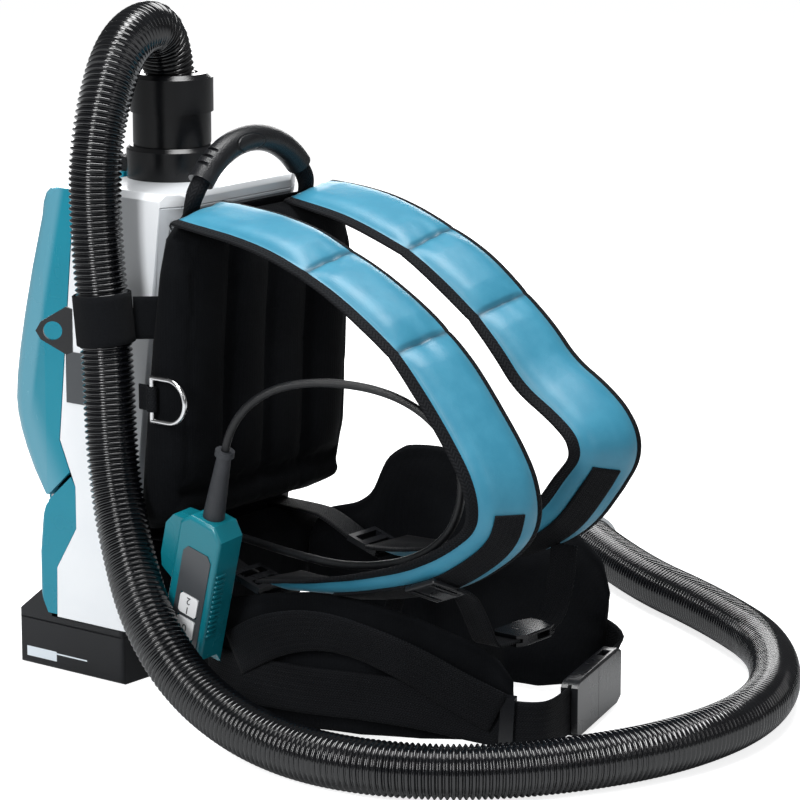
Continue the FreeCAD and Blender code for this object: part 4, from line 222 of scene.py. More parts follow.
# %% Moulded plastics
def moulded(name, colour, shade, roughness, peel=0.5, grain=0.0, coat=0.0, shine=0.5):
    """Plastic of one colour that varies a little towards shade, with orange peel and an optional grain."""
    made = Finish(name, colour, roughness, Specular_IOR_Level=shine)
    clouds = made.noise(9.0, 4.0)
    scuffs = made.noise(60.0, 6.0, 0.7, (1, 1, 0.25))
    marks = scuffs.step(0.62, 0.75)
    made.base = made.mix(clouds.step(0.35, 0.75), colour, shade)
    made.put("Base Color", made.base)
    made.put("Roughness", clouds * 0.10 + marks * 0.10 + (roughness - 0.05))
    made.bump(made.noise(900.0, 2.0), 0.10 * peel, 0.0004)
    if grain:
        made.bump(made.grains(2600.0), 0.35 * grain, 0.0003)
    if coat:
        made.put("Coat Weight", coat)
        made.put("Coat Roughness", 0.12)
    finishes[name] = made
    return made


moulded("white_shell", (0.745, 0.768, 0.790), (0.69, 0.72, 0.75), 0.30, coat=0.20)
moulded("grey_shell", (0.52, 0.55, 0.58), (0.47, 0.50, 0.53), 0.42, grain=0.7)
for teal in ("teal_shell", "teal_cover"):
    moulded(teal, (0.004, 0.205, 0.288), (0.003, 0.182, 0.262), 0.27, coat=0.12, shine=0.32)
moulded("remote_teal", (0.004, 0.160, 0.205), (0.003, 0.138, 0.180), 0.28, grain=0.5, coat=0.15, shine=0.4)
moulded("black_plastic", (0.0035, 0.0038, 0.0048), (0.0055, 0.006, 0.007), 0.20, grain=0.3, shine=0.42)
moulded("charcoal_plastic", (0.0095, 0.010, 0.0115), (0.013, 0.014, 0.016), 0.42, grain=0.7, shine=0.28)
moulded("buckle_plastic", (0.006, 0.0065, 0.008), (0.010, 0.011, 0.013), 0.27, peel=0.12)
moulded("cuff_plastic", (0.55, 0.58, 0.60), (0.48, 0.51, 0.53), 0.38, peel=1.0)
moulded("white_key", (0.82, 0.83, 0.84), (0.76, 0.77, 0.78), 0.36)
moulded("plate_grey", (0.055, 0.060, 0.066), (0.045, 0.049, 0.054), 0.30)
moulded("plate_silver", (0.56, 0.58, 0.60), (0.50, 0.52, 0.54), 0.30)
moulded("ink", (0.03, 0.03, 0.035), (0.04, 0.04, 0.045), 0.5)
moulded("fan_metal", (0.10, 0.11, 0.12), (0.14, 0.15, 0.16), 0.5, grain=0.6)

# A battery pack: a parting groove under its top, and a pale blank stripe on the outer side
GROOVE_LEVEL, PACKS_HALF = 0.0400, 0.0765
pack = finishes["charcoal_plastic"]
x, y, z = pack.axes()
groove = 1.0 - (z - GROOVE_LEVEL).size().step(0.0003, 0.0011)
outer_side = (x - MACHINE.x).size().above(PACKS_HALF)


def beside_bar(along, half_long, level, half_tall, soft):
    """0 inside a bar on the pack's side, and more outside it."""
    return (y - along).size().step(half_long, half_long + soft) \
        + (z - level).size().step(half_tall, half_tall + soft)


stripe = beside_bar(0.2165, 0.0165, 0.0110, 0.0040, 0.0003)
thin = beside_bar(0.1830, 0.0170, 0.0135, 0.0005, 0.0002)
printed = outer_side * (2.0 - stripe.above(0.5) - thin.above(0.5)).above(0.5)
pack.put("Base Color", pack.mix(printed, pack.base, (0.66, 0.72, 0.77)))
pack.bump(1.0 - groove, 0.8, 0.0006)

# The dust cover is paler where it turns to the back and under its belly: a painted reflection, standing in
# for the light those rounded turns catch. Two sloping planes through its widest level follow the turns, so
# the painted reflection stays on the cover from every side.
COVER_WIDEST, BACK_SLOPE, BACK_REACH, BELLY_SLOPE, BELLY_REACH = 0.208, -0.2375, 0.2545, 0.53, 0.2537
cover_skin = finishes["teal_cover"]
x, y, z = cover_skin.axes()
to_back = (z - COVER_WIDEST) * BACK_SLOPE + (BACK_REACH - y)
to_belly = (z - COVER_WIDEST) * BELLY_SLOPE + (BELLY_REACH - y)
# Painted reflection: the paler teal below is laid where the cover turns to the back and under its belly
painted_reflection = 1.0 - to_back.step(0.026, 0.034) * to_belly.step(0.028, 0.058)
cover_skin.put("Base Color", cover_skin.mix(painted_reflection, cover_skin.base, (0.085, 0.285, 0.375)))

# The remote's side under the fingers is darkened with painted shade, for the shade in the gaps between its
# ribs
remote = finishes["remote_teal"]
x, y, z = remote.axes()
up = x * -0.079 + y * -0.281 + z * 0.956
across = x * 0.018 + y * -0.960 + z * -0.281
field = across.above(-0.0182) * (1.0 - (up - 0.112).size().step(0.0300, 0.0310))
remote.put("Base Color", remote.mix(field * 0.35, remote.base, (0.004, 0.080, 0.105)))
print("plastics:", len(finishes))

# %% [markdown]
# The grip and the cable jacket are rubber: duller than plastic, with a soft bloom on the high spots.


# %% Rubber, metal and board
def rubber(name, colour, roughness, dimple):
    made = Finish(name, colour, roughness, Specular_IOR_Level=0.4)
    bloom = made.noise(35.0, 5.0)
    worn = tuple(1.6 * part + 0.004 for part in colour)
    made.put("Base Color", made.mix(bloom.step(0.45, 0.8), colour, worn))
    made.put("Roughness", bloom * 0.2 + (roughness - 0.1))
    made.bump(made.grains(dimple), 0.4, 0.0005)
    finishes[name] = made
    return made


# The grip's front face has one shallow oval ring, a little off its middle
OVAL_X, OVAL_LEVEL, OVAL_WIDE, OVAL_TALL = MACHINE.x - 0.010, 0.4440, 0.016, 0.0072
grip = rubber("grip_rubber", (0.0050, 0.0055, 0.0068), 0.36, 900.0)
x, y, z = grip.axes()
oval_x, oval_z = (x - OVAL_X) * (1 / OVAL_WIDE), (z - OVAL_LEVEL) * (1 / OVAL_TALL)
oval = (oval_x.power(2.0) + oval_z.power(2.0)).power(0.5)
ring = (1.0 - (oval - 1.0).size().step(0.02, 0.10)) * (1.0 - y.above(MACHINE.y - 0.037))
grip.bump(1.0 - ring, 0.9, 0.0009)
rubber("cable_rubber", (0.0045, 0.005, 0.006), 0.34, 1800.0)
rubber("relief_rubber", (0.019, 0.021, 0.025), 0.50, 1500.0)


def metal(name, colour, roughness, scratch):
    made = Finish(name, colour, roughness, Metallic=1.0)
    lines = made.noise(scratch, 4.0, 0.6, (1, 1, 8))
    made.put("Roughness", lines * 0.2 + (roughness - 0.08))
    made.bump(lines, 0.08, 0.0002)
    finishes[name] = made


metal("ring_chrome", (0.72, 0.72, 0.73), 0.16, 120.0)
metal("steel", (0.42, 0.42, 0.43), 0.34, 200.0)
metal("terminal_brass", (0.66, 0.48, 0.20), 0.28, 200.0)

board = Finish("board_green", (0.01, 0.12, 0.05), 0.40)
tracks = board.noise(140.0, 1.0, 0.4, (1, 1, 6)).step(0.50, 0.54)
board.put("Base Color", board.mix(tracks, (0.008, 0.10, 0.04), (0.02, 0.20, 0.08)))
board.bump(tracks, 0.3, 0.0002)
finishes["board_green"] = board

# %% [markdown]
# Webbing is a flat woven tape. Its face shows rows of small ribs across the tape, each made of short floats
# in a zigzag, and a tighter selvedge down both edges. The pattern is sums on the distance along and across
# the tape, which each tape carries as its own map.


# %% Woven tapes
def woven(name, colour, pitch):
    """Webbing: a zigzag of floats, pitch metres apart."""
    made = Finish(name, colour, 0.72, Sheen_Weight=0.012, Sheen_Roughness=0.5, Specular_IOR_Level=0.10)
    along, across = made.strip()
    zigzag = ((across * (0.5 / pitch)).part() - 0.5).size() * 2.0
    rows = ((along * (1.0 / pitch) + zigzag) * (2 * math.pi)).sine()
    floats = (across * (2 * math.pi / (pitch * 0.8))).sine()
    height = rows * 0.5 + floats * 0.3
    worn = made.noise(22.0, 5.0)
    light = tuple(part * 2.0 + 0.0012 for part in colour)
    made.put("Base Color", made.mix((height * 0.45 + worn * 0.8).step(0.25, 1.0), colour, light))
    made.put("Roughness", 0.80 - worn * 0.2)
    made.bump(height, 0.55, 0.0006)
    finishes[name] = made


woven("black_webbing", (0.0030, 0.0034, 0.0044), 0.0024)
woven("binding", (0.0036, 0.0040, 0.0050), 0.0034)

# %% [markdown]
# The shoulder straps are covered in a plain satin nylon. It shines in long soft streaks along the strap,
# its threads are too fine to see, and it puckers beside every seam. The undersides and the back pad are
# spacer mesh: a black knit with small round holes that lets air through.

# %% Covers of the padded parts
satin = Finish("teal_satin", (0.03, 0.21, 0.31), 0.42, Specular_IOR_Level=0.5, Sheen_Weight=0.24,
               Sheen_Roughness=0.3, Sheen_Tint=(0.55, 0.85, 0.95, 1.0))
seam_shade_input = satin.node("ShaderNodeAttribute", {"attribute_name": "painted_seam_shade"}, {})
painted_seam_shade = Value(satin, seam_shade_input.socket.node.outputs["Fac"])
along, across = satin.strip()
threads = (along * 5200.0).sine() * 0.5 + (across * 5200.0).sine() * 0.5
streaks = satin.noise(55.0, 5.0, 0.6)
cover = satin.mix(streaks.step(0.30, 0.75), (0.024, 0.178, 0.275), (0.031, 0.202, 0.305))
# Painted shade: the satin is darkened along each seam, where the cover is drawn in
satin.put("Base Color", satin.mix(painted_seam_shade * 0.85, cover, (0.003, 0.035, 0.060)))
satin.put("Roughness", streaks * 0.16 + 0.36)
satin.bump(satin.noise(120.0, 4.0, 0.5), 0.16, 0.0012)
satin.bump(threads, 0.25, 0.00008)
finishes["teal_satin"] = satin


def mesh_cloth(name, colour, hole, depth=0.0006):
    """Black knit with rows of round holes, hole metres apart."""
    made = Finish(name, colour, 0.85, Sheen_Weight=0.010, Sheen_Roughness=0.6, Specular_IOR_Level=0.05)
    x, y, z = made.axes()
    rate = math.pi / hole
    holes = ((x * rate).sine() * (z * rate).sine() + (y * rate).sine() * (z * rate).sine()).size()
    pits = holes.step(0.25, 0.9)
    wear = made.noise(14.0, 5.0)
    light = tuple(part * 1.8 + 0.001 for part in colour)
    made.put("Base Color", made.mix((wear.step(0.4, 0.8) * 0.8 + pits * 0.2), colour, light))
    made.put("Roughness", 0.90 - wear * 0.15)
    made.bump(made.noise(38.0, 4.0), 0.35, 0.0030)
    made.bump(1.0 - pits, 0.50, depth)
    finishes[name] = made


mesh_cloth("mesh_black", (0.0030, 0.0034, 0.0042), 0.0022, 0.0003)
mesh_cloth("velour_black", (0.0026, 0.0030, 0.0038), 0.0014, 0.0003)
mesh_cloth("bag_paper", (0.42, 0.43, 0.42), 0.0020, 0.0002)
mesh_cloth("filter_paper", (0.55, 0.56, 0.54), 0.0024, 0.0003)

# %% [markdown]
# A hook-and-loop strap is matt and fuzzy: its loops scatter light, so it has no shine and a soft pale edge.

# %% Hook-and-loop
fuzz = Finish("loop_black", (0.004, 0.0045, 0.0055), 0.95, Sheen_Weight=0.02, Sheen_Roughness=0.6,
              Specular_IOR_Level=0.05)
loops = fuzz.noise(2400.0, 3.0, 0.7)
fuzz.put("Base Color", fuzz.mix(loops.step(0.35, 0.75), (0.0025, 0.003, 0.0038), (0.011, 0.012, 0.014)))
fuzz.bump(loops, 0.8, 0.0009)
finishes["loop_black"] = fuzz

# %% [markdown]
# The hose is the glossiest black on the machine: its ribs show as a row of thin bright lines, and only a
# little dust breaks them.

# %% Hose gloss
hose_gloss = Finish("hose_plastic", (0.003, 0.0034, 0.0044), 0.20, Coat_Weight=0.30, Coat_Roughness=0.08)
dust = hose_gloss.noise(40.0, 5.0)
dusty = dust.step(0.45, 0.85)
hose_gloss.put("Base Color", hose_gloss.mix(dusty, (0.0028, 0.0032, 0.0042), (0.006, 0.0066, 0.008)))
hose_gloss.put("Roughness", dust * 0.06 + 0.14)
hose_gloss.bump(hose_gloss.noise(500.0, 2.0), 0.03, 0.0002)
finishes["hose_plastic"] = hose_gloss

# %% [markdown]
# Every CAD piece that is already right keeps its shape and gets its finish here.

# %% Finishes on the CAD pieces
WEARS = {
    "white_shell": ["main_shell"],
    "grey_shell": ["front_cover"],
    "teal_shell": ["base_shell"],
    "teal_cover": ["dust_cover"],
    "remote_teal": ["remote_front", "remote_back", "belt_clip"],
    "black_plastic": ["cover_latch", "inlet_flange", "hose_connector", "lock_ring", "release_button_near",
                      "release_button_far", "back_frame", "motor_housing"],
    "buckle_plastic": ["buckle_male", "buckle_female", "chest_clip_male", "chest_clip_female", "ladder_locks",
                       "webbing_keeper", "strap_plate"],
    "charcoal_plastic": ["battery_near", "battery_far"],
    "plate_grey": ["rating_plate", "remote_face_plate"],
    "white_key": ["power_button", "off_button"],
    "cuff_plastic": ["hose_cuff"],
    "relief_rubber": ["strain_relief"],
    "cable_rubber": ["cable_gland"],
    "grip_rubber": ["handle_grip"],
    "ring_chrome": ["d_ring_pad", "d_ring_belt"],
    "steel": ["shell_screws", "cover_hinge_pin", "motor_stator", "motor_shaft"],
    "terminal_brass": ["battery_terminals"],
    "board_green": ["controller_board"],
    "fan_metal": ["impeller"],
    "filter_paper": ["pre_filter"],
}
for finish_name, wearers in WEARS.items():
    for wearer in wearers:
        paint(wearer, finish_name)
bpy.ops.object.select_all(action="DESELECT")
print("CAD pieces painted:", sum(len(wearers) for wearers in WEARS.values()))

# %% [markdown]
# No moulded edge is truly sharp: each one has a small radius that catches a thin line of light. A bevel
# modifier rounds the edges of a CAD piece without touching its mesh. The piece's triangles are loose, so a
# weld comes first, and weighted normals keep the large faces looking flat afterwards.


# %% Eased edges
def eased(node, radius, angle=38):
    piece = cad[node]
    weld = piece.modifiers.new("merged", "WELD")
    weld.merge_threshold = 0.00002
    bevel = piece.modifiers.new("eased", "BEVEL")
    bevel.width, bevel.segments, bevel.limit_method = radius, 2, "ANGLE"
    bevel.angle_limit, bevel.use_clamp_overlap, bevel.harden_normals = math.radians(angle), True, False
    piece.modifiers.new("flat_faces", "WEIGHTED_NORMAL").keep_sharp = False


EASED = {"main_shell": 0.0010, "base_shell": 0.0010, "front_cover": 0.0010, "battery_near": 0.0014,
         "battery_far": 0.0014, "remote_front": 0.0007, "remote_back": 0.0007, "buckle_male": 0.0006,
         "buckle_female": 0.0006, "belt_clip": 0.0005, "power_button": 0.0004, "off_button": 0.0004}
for node, radius in EASED.items():
    eased(node, radius)
print("edges eased on", len(EASED), "pieces")

# %% [markdown]
# A hose, a cable and a tape all follow a smooth line. A NURBS curve gives it: its control points are the
# route's corners, and the curve passes smoothly inside them, as something flexible would. Pieces that are
# wrapped round the line read its points and step along it in equal lengths.


# %% Smooth lines
def smooth_curve(name, route, fine=12):
    """A NURBS curve with the route's points as its control points."""
    data = bpy.data.curves.new(name, "CURVE")
    data.dimensions, data.resolution_u = "3D", fine
    spline = data.splines.new("NURBS")
    spline.points.add(len(route) - 1)
    for control, point in zip(spline.points, route):
        control.co = (*point, 1.0)
    spline.use_endpoint_u = True
    spline.order_u = 3
    made = bpy.data.objects.new(name, data)
    bpy.context.scene.collection.objects.link(made)
    return made


def places_of(mesh):
    return np.array([vertex.co for vertex in mesh.vertices])


def read_line(curve):
    """The curve's points, as an array."""
    return places_of(bpy.data.meshes.new_from_object(curve))


def distances(points):
    """How far along the line through these points each of them is."""
    return np.concatenate([[0.0], np.cumsum(np.linalg.norm(np.diff(points, axis=0), axis=1))])


def even_steps(line, step):
    """The same line as points step metres apart, with the distance along it."""
    lengths = distances(line)
    count = max(2, int(round(lengths[-1] / step)) + 1)
    where = np.linspace(0.0, lengths[-1], count)
    return np.stack([np.interp(where, lengths, line[:, axis]) for axis in range(3)], 1), where


def smooth_line(route, step):
    curve = smooth_curve("line", route)
    points, where = even_steps(read_line(curve), step)
    bpy.data.objects.remove(curve)
    return points, where


def directions(points):
    ways = np.gradient(points, axis=0)
    return ways / np.linalg.norm(ways, axis=1, keepdims=True)


def carried_sides(ways, first):
    """A side direction at each point, carried along without twist."""
    sides, side = [], np.array(first, float)
    for way in ways:
        side = side - way * (side @ way)
        side = side / np.linalg.norm(side)
        sides.append(side)
    return np.array(sides)


# %% [markdown]
# A skin is the closed surface round such a line: one ring of points at each step, with faces between them.
# Its map holds the distance along and across in metres, so that a weave keeps its size on every piece. The
# helpers after it turn faces outwards, apply a modifier, and let a new piece ride with its CAD nodes.


# %% Skins round a line
def skin(name, rings, where, spans, closed_ends=True):
    """A closed skin over rows of points: rings[i, j]; its map holds metres along and across."""
    rows, sides = rings.shape[:2]
    corners = rings.reshape(-1, 3)
    faces, map_at = [], []
    for row in range(rows - 1):
        for side in range(sides):
            nearby = (side + 1) % sides
            faces.append((row * sides + side, row * sides + nearby, (row + 1) * sides + nearby,
                          (row + 1) * sides + side))
            map_at += [(where[row], spans[side]), (where[row], spans[side + 1]),
                       (where[row + 1], spans[side + 1]), (where[row + 1], spans[side])]
    if closed_ends:
        for row, order in ((0, range(sides - 1, -1, -1)), (rows - 1, range(sides))):
            faces.append(tuple(row * sides + side for side in order))
            map_at += [(where[row], spans[side]) for side in order]
    mesh = bpy.data.meshes.new(name)
    mesh.from_pydata(corners.tolist(), [], faces)
    layer = mesh.uv_layers.new(name="cloth")
    layer.data.foreach_set("uv", np.array(map_at, np.float32).ravel())
    made = bpy.data.objects.new(name, mesh)
    bpy.context.scene.collection.objects.link(made)
    outwards(made)
    return made


def outwards(piece):
    """Turn all faces outwards and shade them smooth."""
    bm = bmesh.new()
    bm.from_mesh(piece.data)
    bmesh.ops.recalc_face_normals(bm, faces=bm.faces)
    bm.to_mesh(piece.data)
    bm.free()
    piece.data.polygons.foreach_set("use_smooth", [True] * len(piece.data.polygons))


def applied(piece, name, kind, **settings):
    """Give the active piece a modifier with these settings, and apply it."""
    modifier = piece.modifiers.new(name, kind)
    for setting, value in settings.items():
        setattr(modifier, setting, value)
    bpy.ops.object.modifier_apply(modifier=name)


def tube_rings(centre, across, deep, wide, thick, count):
    """Rings of count points round a line, wide along across and thick along deep."""
    turn = np.linspace(0, 2 * np.pi, count, endpoint=False)[None, :, None]
    return centre[:, None] + np.cos(turn) * (wide[:, None, None] * across[:, None]) \
        + np.sin(turn) * (thick[:, None, None] * deep[:, None])


def fixed(piece, *nodes, slot_name=None, body=None):
    """Let a piece ride with the nodes that it stands for, and hide them; slot_name is not used."""
    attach(piece, body or BODY_OF[nodes[0]])
    if nodes:
        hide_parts(*nodes)
    return piece


# %% [markdown]
# The hose comes first, because it decides how much room the picture needs. It plugs into the inlet on top,
# folds over, falls beside the body through its hook-and-loop strap, sweeps in front of the remote and lies
# on the floor in one wide curve to its pale cuff. A blow-moulded hose has narrow rounded ribs, 4.5 mm apart
# here, so its skin is a row of rings that swell and shrink with the distance along the line.

# %% Hose
HOSE_ROUTE = spots([
    (0, 0.045, 0.447), (0, 0.045, 0.533), (-0.0761, 0.028, 0.530), (-0.1166, 0.0191, 0.462),
    (-0.1185, 0.022, 0.395), (-0.117, 0.012, 0.290), (-0.121, 0.005, 0.196), (-0.134, -0.020, 0.139),
    (-0.1575, -0.062, 0.089), (-0.166, -0.114, 0.044), (-0.178, -0.200, 0.0216), (-0.176, -0.296, 0.0216),
    (-0.122, -0.380, 0.0216), (0, -0.445, 0.0216), (0.140, -0.446, 0.0216), (0.270, -0.366, 0.0216),
    (0.340, -0.262, 0.0216), (0.402, -0.130, 0.0216), (0.471, -0.034, 0.025),
])
HOSE_RADIUS, RIB_DEPTH, RIB_PITCH, HOSE_SIDES, PLAIN_END = 0.0208, 0.0028, 0.00450, 40, 0.030
hose_line = smooth_curve("hose_line", HOSE_ROUTE, 24)
hose_centre, hose_where = even_steps(read_line(hose_line), RIB_PITCH / 6)
bpy.data.objects.remove(hose_line)
hose_long = hose_where[-1]
ways = directions(hose_centre)
sides = carried_sides(ways, (1, 0, 0))
over = np.cross(ways, sides)
phase = (hose_where / RIB_PITCH) % 1.0
crest = np.clip(0.5 + 0.5 * np.cos(2 * np.pi * (phase - 0.5)), 0.0, 1.0) ** 0.7
plain = np.minimum(hose_where, hose_long - hose_where) < PLAIN_END
radii = HOSE_RADIUS - RIB_DEPTH * np.where(plain, 0.0, 1.0 - crest)
hose_rings = tube_rings(hose_centre, sides, over, radii, radii, HOSE_SIDES)
around = np.linspace(0, 2 * np.pi * HOSE_RADIUS, HOSE_SIDES + 1)
hose = skin("hose_ribs", hose_rings, hose_where, around)
paint(hose, "hose_plastic")
fixed(hose, "hose", slot_name="hose_plastic")
print("hose length", round(float(hose_long), 3), "ribs", int(hose_long / RIB_PITCH))

# %% [markdown]
# The remote's cable leaves its strain relief, arches over the near strap and drops back to the gland in
# the frame. It is soft and round, so the curve itself, with a round bevel, is the finished piece.

# %% Cable
CABLE_ROUTE = spots([
    (-0.12801, -0.11813, 0.22787), (-0.13046, -0.12684, 0.25751), (-0.118, -0.175, 0.290),
    (-0.095, -0.262, 0.288), (-0.078, -0.306, 0.245), (-0.070, -0.300, 0.190), (-0.068, -0.262, 0.153),
    (-0.064, -0.190, 0.133), (-0.058, -0.115, 0.134), (-0.045, -0.058, 0.135), (-0.045, -0.0067, 0.135),
])
CABLE_RADIUS = 0.00325
cable = smooth_curve("remote_lead", CABLE_ROUTE, 24)
cable_long = float(even_steps(read_line(cable), 0.004)[1][-1])
cable.data.bevel_depth, cable.data.bevel_resolution, cable.data.use_fill_caps = CABLE_RADIUS, 8, True
paint(cable, "cable_rubber")
fixed(cable, "remote_cable", slot_name="cable_rubber")
print("cable length", round(cable_long, 3))

# %% [markdown]
# A padded shoulder strap is a foam core in a sewn cover. Cross seams divide it into pillows, so the cover
# swells between the seams and is drawn in at them. A folded binding runs down both edges as a flat lip.
# The strap is a skin whose section changes along the line: crowned in the middle, thin at the lips.


# %% Padded straps
def from_seam(where, seams):
    """How far each place along the strap is from its nearest seam."""
    return np.min(np.abs(where[:, None] - np.array(seams)[None, :]), axis=1)


def pillow(where, seams, soft):
    """1 in the middle of a pillow and 0 at a seam, for each distance along the strap."""
    return np.clip(from_seam(where, seams) / soft, 0, 1) ** 0.5


def ripple(where, across, seed, size):
    """Slow waves in cloth, the same at every run."""
    waves = np.random.default_rng(seed)
    total = np.zeros(np.broadcast(where, across).shape)
    for _ in range(7):
        rate, lean, start = waves.uniform(18, 95), waves.uniform(-70, 70), waves.uniform(0, 6.28)
        total = total + np.sin(where * rate + across * lean + start) / 7
    return total * size


SKIN_THICK, CREASE_WIDE = 0.0013, 0.0028


def padded_strap(name, centre, where, across_way, width, thick, seams, seed, lips=(0.009, 0.009), crown=1.0,
                 under=0.5, flat=0.10):
    """Rings of a padded strap: crowned outside and inside, with a flat lip down both edges."""
    ways = directions(centre)
    sideways = np.broadcast_to(np.array(across_way, float), centre.shape)
    normal = np.cross(ways, sideways)
    normal /= np.linalg.norm(normal, axis=1, keepdims=True)
    half = width / 2 * (0.94 + 0.06 * pillow(where, seams, 0.034))
    share = np.concatenate([np.linspace(-1, 1, 41), np.linspace(1, -1, 41)[1:-1]])
    face = np.concatenate([np.ones(41), -np.ones(39)])
    across = share[None, :] * half[:, None]
    lip = np.where(share < 0, lips[0], lips[1])[None, :]
    inner = np.clip((half[:, None] - lip - np.abs(across)) / (half[:, None] - lip), 0, 1)
    swell = 1 - (1 - inner) ** 4
    puff = pillow(where, seams, 0.021)[:, None]
    body_thick = thick[:, None] * (flat + (1 - flat) * puff)
    fold = 1 - pillow(where, seams, 0.028)[:, None]
    pucker = ripple(where[:, None] * 0.4, across * 7.0, seed + 40, 0.0016) * fold * swell
    lift = SKIN_THICK + swell * (body_thick / 2 - SKIN_THICK) * np.where(face > 0, crown, under)[None, :]
    lift = lift + (pucker + ripple(where[:, None], across, seed, 0.0009) * swell) * (face > 0)
    edge = np.abs(share) > 0.999
    lift[:, edge] = 0.0
    rings = centre[:, None] + across[:, :, None] * sideways[:, None] \
        + (lift * face[None, :])[:, :, None] * normal[:, None]
    made = skin(name, rings, where, np.concatenate([share, share[:1]]) * float(half.max()))
    made["outer"] = rings[:, 20].ravel().tolist()
    count, rows = len(share), len(centre)
    strap_faces = []
    for index in range((rows - 1) * count):
        side = index % count
        middle_share = (share[side] + share[(side + 1) % count]) / 2
        if abs(middle_share) * half.max() > half.max() - lips[int(middle_share > 0)]:
            strap_faces.append(1)
        else:
            strap_faces.append(0 if face[side] > 0 and face[(side + 1) % count] > 0 else 2)
    strap_faces += [1, 1]
    paint(made, "teal_satin", "binding", "mesh_black")
    made.data.polygons.foreach_set("material_index", strap_faces)
    # How much painted shade the satin gets at each point: most at a seam, where the cover is drawn in
    drawn = np.exp(-(from_seam(where, seams) / CREASE_WIDE) ** 2)
    seam_shade_layer = made.data.attributes.new("painted_seam_shade", "FLOAT", "POINT")
    seam_shade_layer.data.foreach_set("value", np.repeat(drawn, count).astype(np.float32))
    return made


def along_route(route, values, centre):
    """Values given at the route's points, read at the points of the smooth line."""
    route = np.array([list(point) for point in route])
    chords, steps = distances(route), distances(centre)
    return np.interp(steps / steps[-1], chords / chords[-1], values)


# A strap's points: front to back, height and thickness in millimetres, and lean in degrees. A thickness of
# SEAM_DEEP marks a seam.
SEAM_DEEP, STRAP_LIPS = 7, (0.010, 0.005)
NEAR_STRAP = [(-40.5, 395.5, 5, 9), (-72, 392.5, 7, 10), (-104, 389, 12, 11), (-140, 381, 13, 11),
              (-170, 369, 7, 11), (-196, 358, 12, 10), (-228, 340, 13, 11), (-259, 319, 7, 13),
              (-283, 295, 12, 14), (-308, 264, 13, 14), (-329, 235, 12, 15), (-338, 212, 11, 18),
              (-338, 190, 11, 22), (-322, 171, 12, 25), (-284, 146, 13, 27), (-240, 131, 13, 25),
              (-190, 121, 12, 19), (-150, 117, 12, 11), (-120, 116, 9, 4)]
FAR_STRAP = [(-40.5, 395.5, 5, 8), (-72, 392.5, 7, 10), (-110, 386, 12, 12), (-162, 368, 7, 13),
             (-197, 349, 12, 15), (-232, 323, 7, 16), (-257, 300, 12, 17), (-278, 275, 13, 19),
             (-308, 258, 12, 19), (-330, 240, 11, 18), (-336, 218, 11, 22), (-320, 196, 12, 26),
             (-296, 163, 12, 26), (-260, 141, 13, 22), (-220, 128, 13, 16), (-175, 120, 12, 8),
             (-146, 117, 12, 5), (-120, 116, 9, 2)]
STRAP_SPREAD, STRAP_WIDTH, THINNEST, PUFFED = 0.068, 0.068, 11, 1.3
outer_lines = {}
for side, word, route, seed in ((-1, "near", NEAR_STRAP, 11), (1, "far", FAR_STRAP, 12)):
    corners = spots([(side * STRAP_SPREAD, y / 1000, z / 1000) for y, z, _, _ in route])
    centre, where = smooth_line(corners, 0.0025)
    thick = along_route(corners, [max(deep, THINNEST) * PUFFED / 1000 for _, _, deep, _ in route], centre)
    width = along_route(corners, [STRAP_WIDTH * (0.9 if n == len(route) - 1 else 1.0)
                                  for n in range(len(route))], centre)
    lean = np.radians(along_route(corners, [angle for _, _, _, angle in route], centre))[:, None]
    outward = np.cross(directions(centre), (1, 0, 0))
    across = np.cos(lean) * np.array([1.0, 0, 0]) + np.sin(lean) * outward
    chords = along_route(corners, np.arange(len(route)), centre)
    seams = [0.0, where[-1]] + [float(where[np.argmin(np.abs(chords - n))])
                                for n, (_, _, deep, _) in enumerate(route) if deep == SEAM_DEEP and n > 1]
    strap = padded_strap(f"padded_strap_{word}", centre, where, across, width, thick, seams, seed, STRAP_LIPS)
    outer_lines[word] = (strap, np.array(strap["outer"]).reshape(-1, 3), across, chords)
    del strap["outer"]
    print(strap.name, "seams at", [round(seam, 3) for seam in seams])

# %% [markdown]
# Webbing is woven flat and keeps its width when it bends, so a strip with square ends and slightly rounded
# edges, swept along its route, is all it needs. Each tape carries its own map for the weave.


# %% Webbing
def tape(name, route, across_way, width, thick, finish="black_webbing", step=0.004, wave=0.0, seed=3):
    """A woven tape along a route; across_way is one direction, or one for each route point."""
    centre, where = smooth_line(route, step)
    ways = directions(centre)
    if isinstance(across_way, list):
        spread = [along_route(route, [way[axis] for way in across_way], centre) for axis in range(3)]
        across = np.stack(spread, 1)
    else:
        across = np.tile(np.array(across_way, float), (len(centre), 1))
    across -= ways * np.sum(across * ways, axis=1, keepdims=True)
    across /= np.linalg.norm(across, axis=1, keepdims=True)
    normal = np.cross(ways, across)
    half, deep = width / 2, thick / 2
    section = [(-half, 0.0), (-half + deep * 0.6, deep)]
    section += [(share * (half - deep), deep) for share in np.linspace(-0.8, 0.8, 9)]
    section += [(half - deep * 0.6, deep), (half, 0.0)]
    section += [(x, -y) for x, y in section[-2:0:-1]]
    section = np.array(section)
    lift = ripple(where[:, None], section[None, :, 0], seed, wave)
    rings = centre[:, None] + section[None, :, :1] * across[:, None] \
        + (section[None, :, 1:] + lift[:, :, None]) * normal[:, None]
    spans = np.concatenate([section[:, 0], section[:1, 0]])
    made = skin(name, rings, where, spans)
    paint(made, finish)
    return made


def joined(name, parts):
    """Several tapes of one CAD piece as one object."""
    bpy.ops.object.select_all(action="DESELECT")
    for part in parts:
        part.select_set(True)
    bpy.context.view_layer.objects.active = parts[0]
    bpy.ops.object.join()
    parts[0].name = name
    parts[0].select_set(False)
    return parts[0]


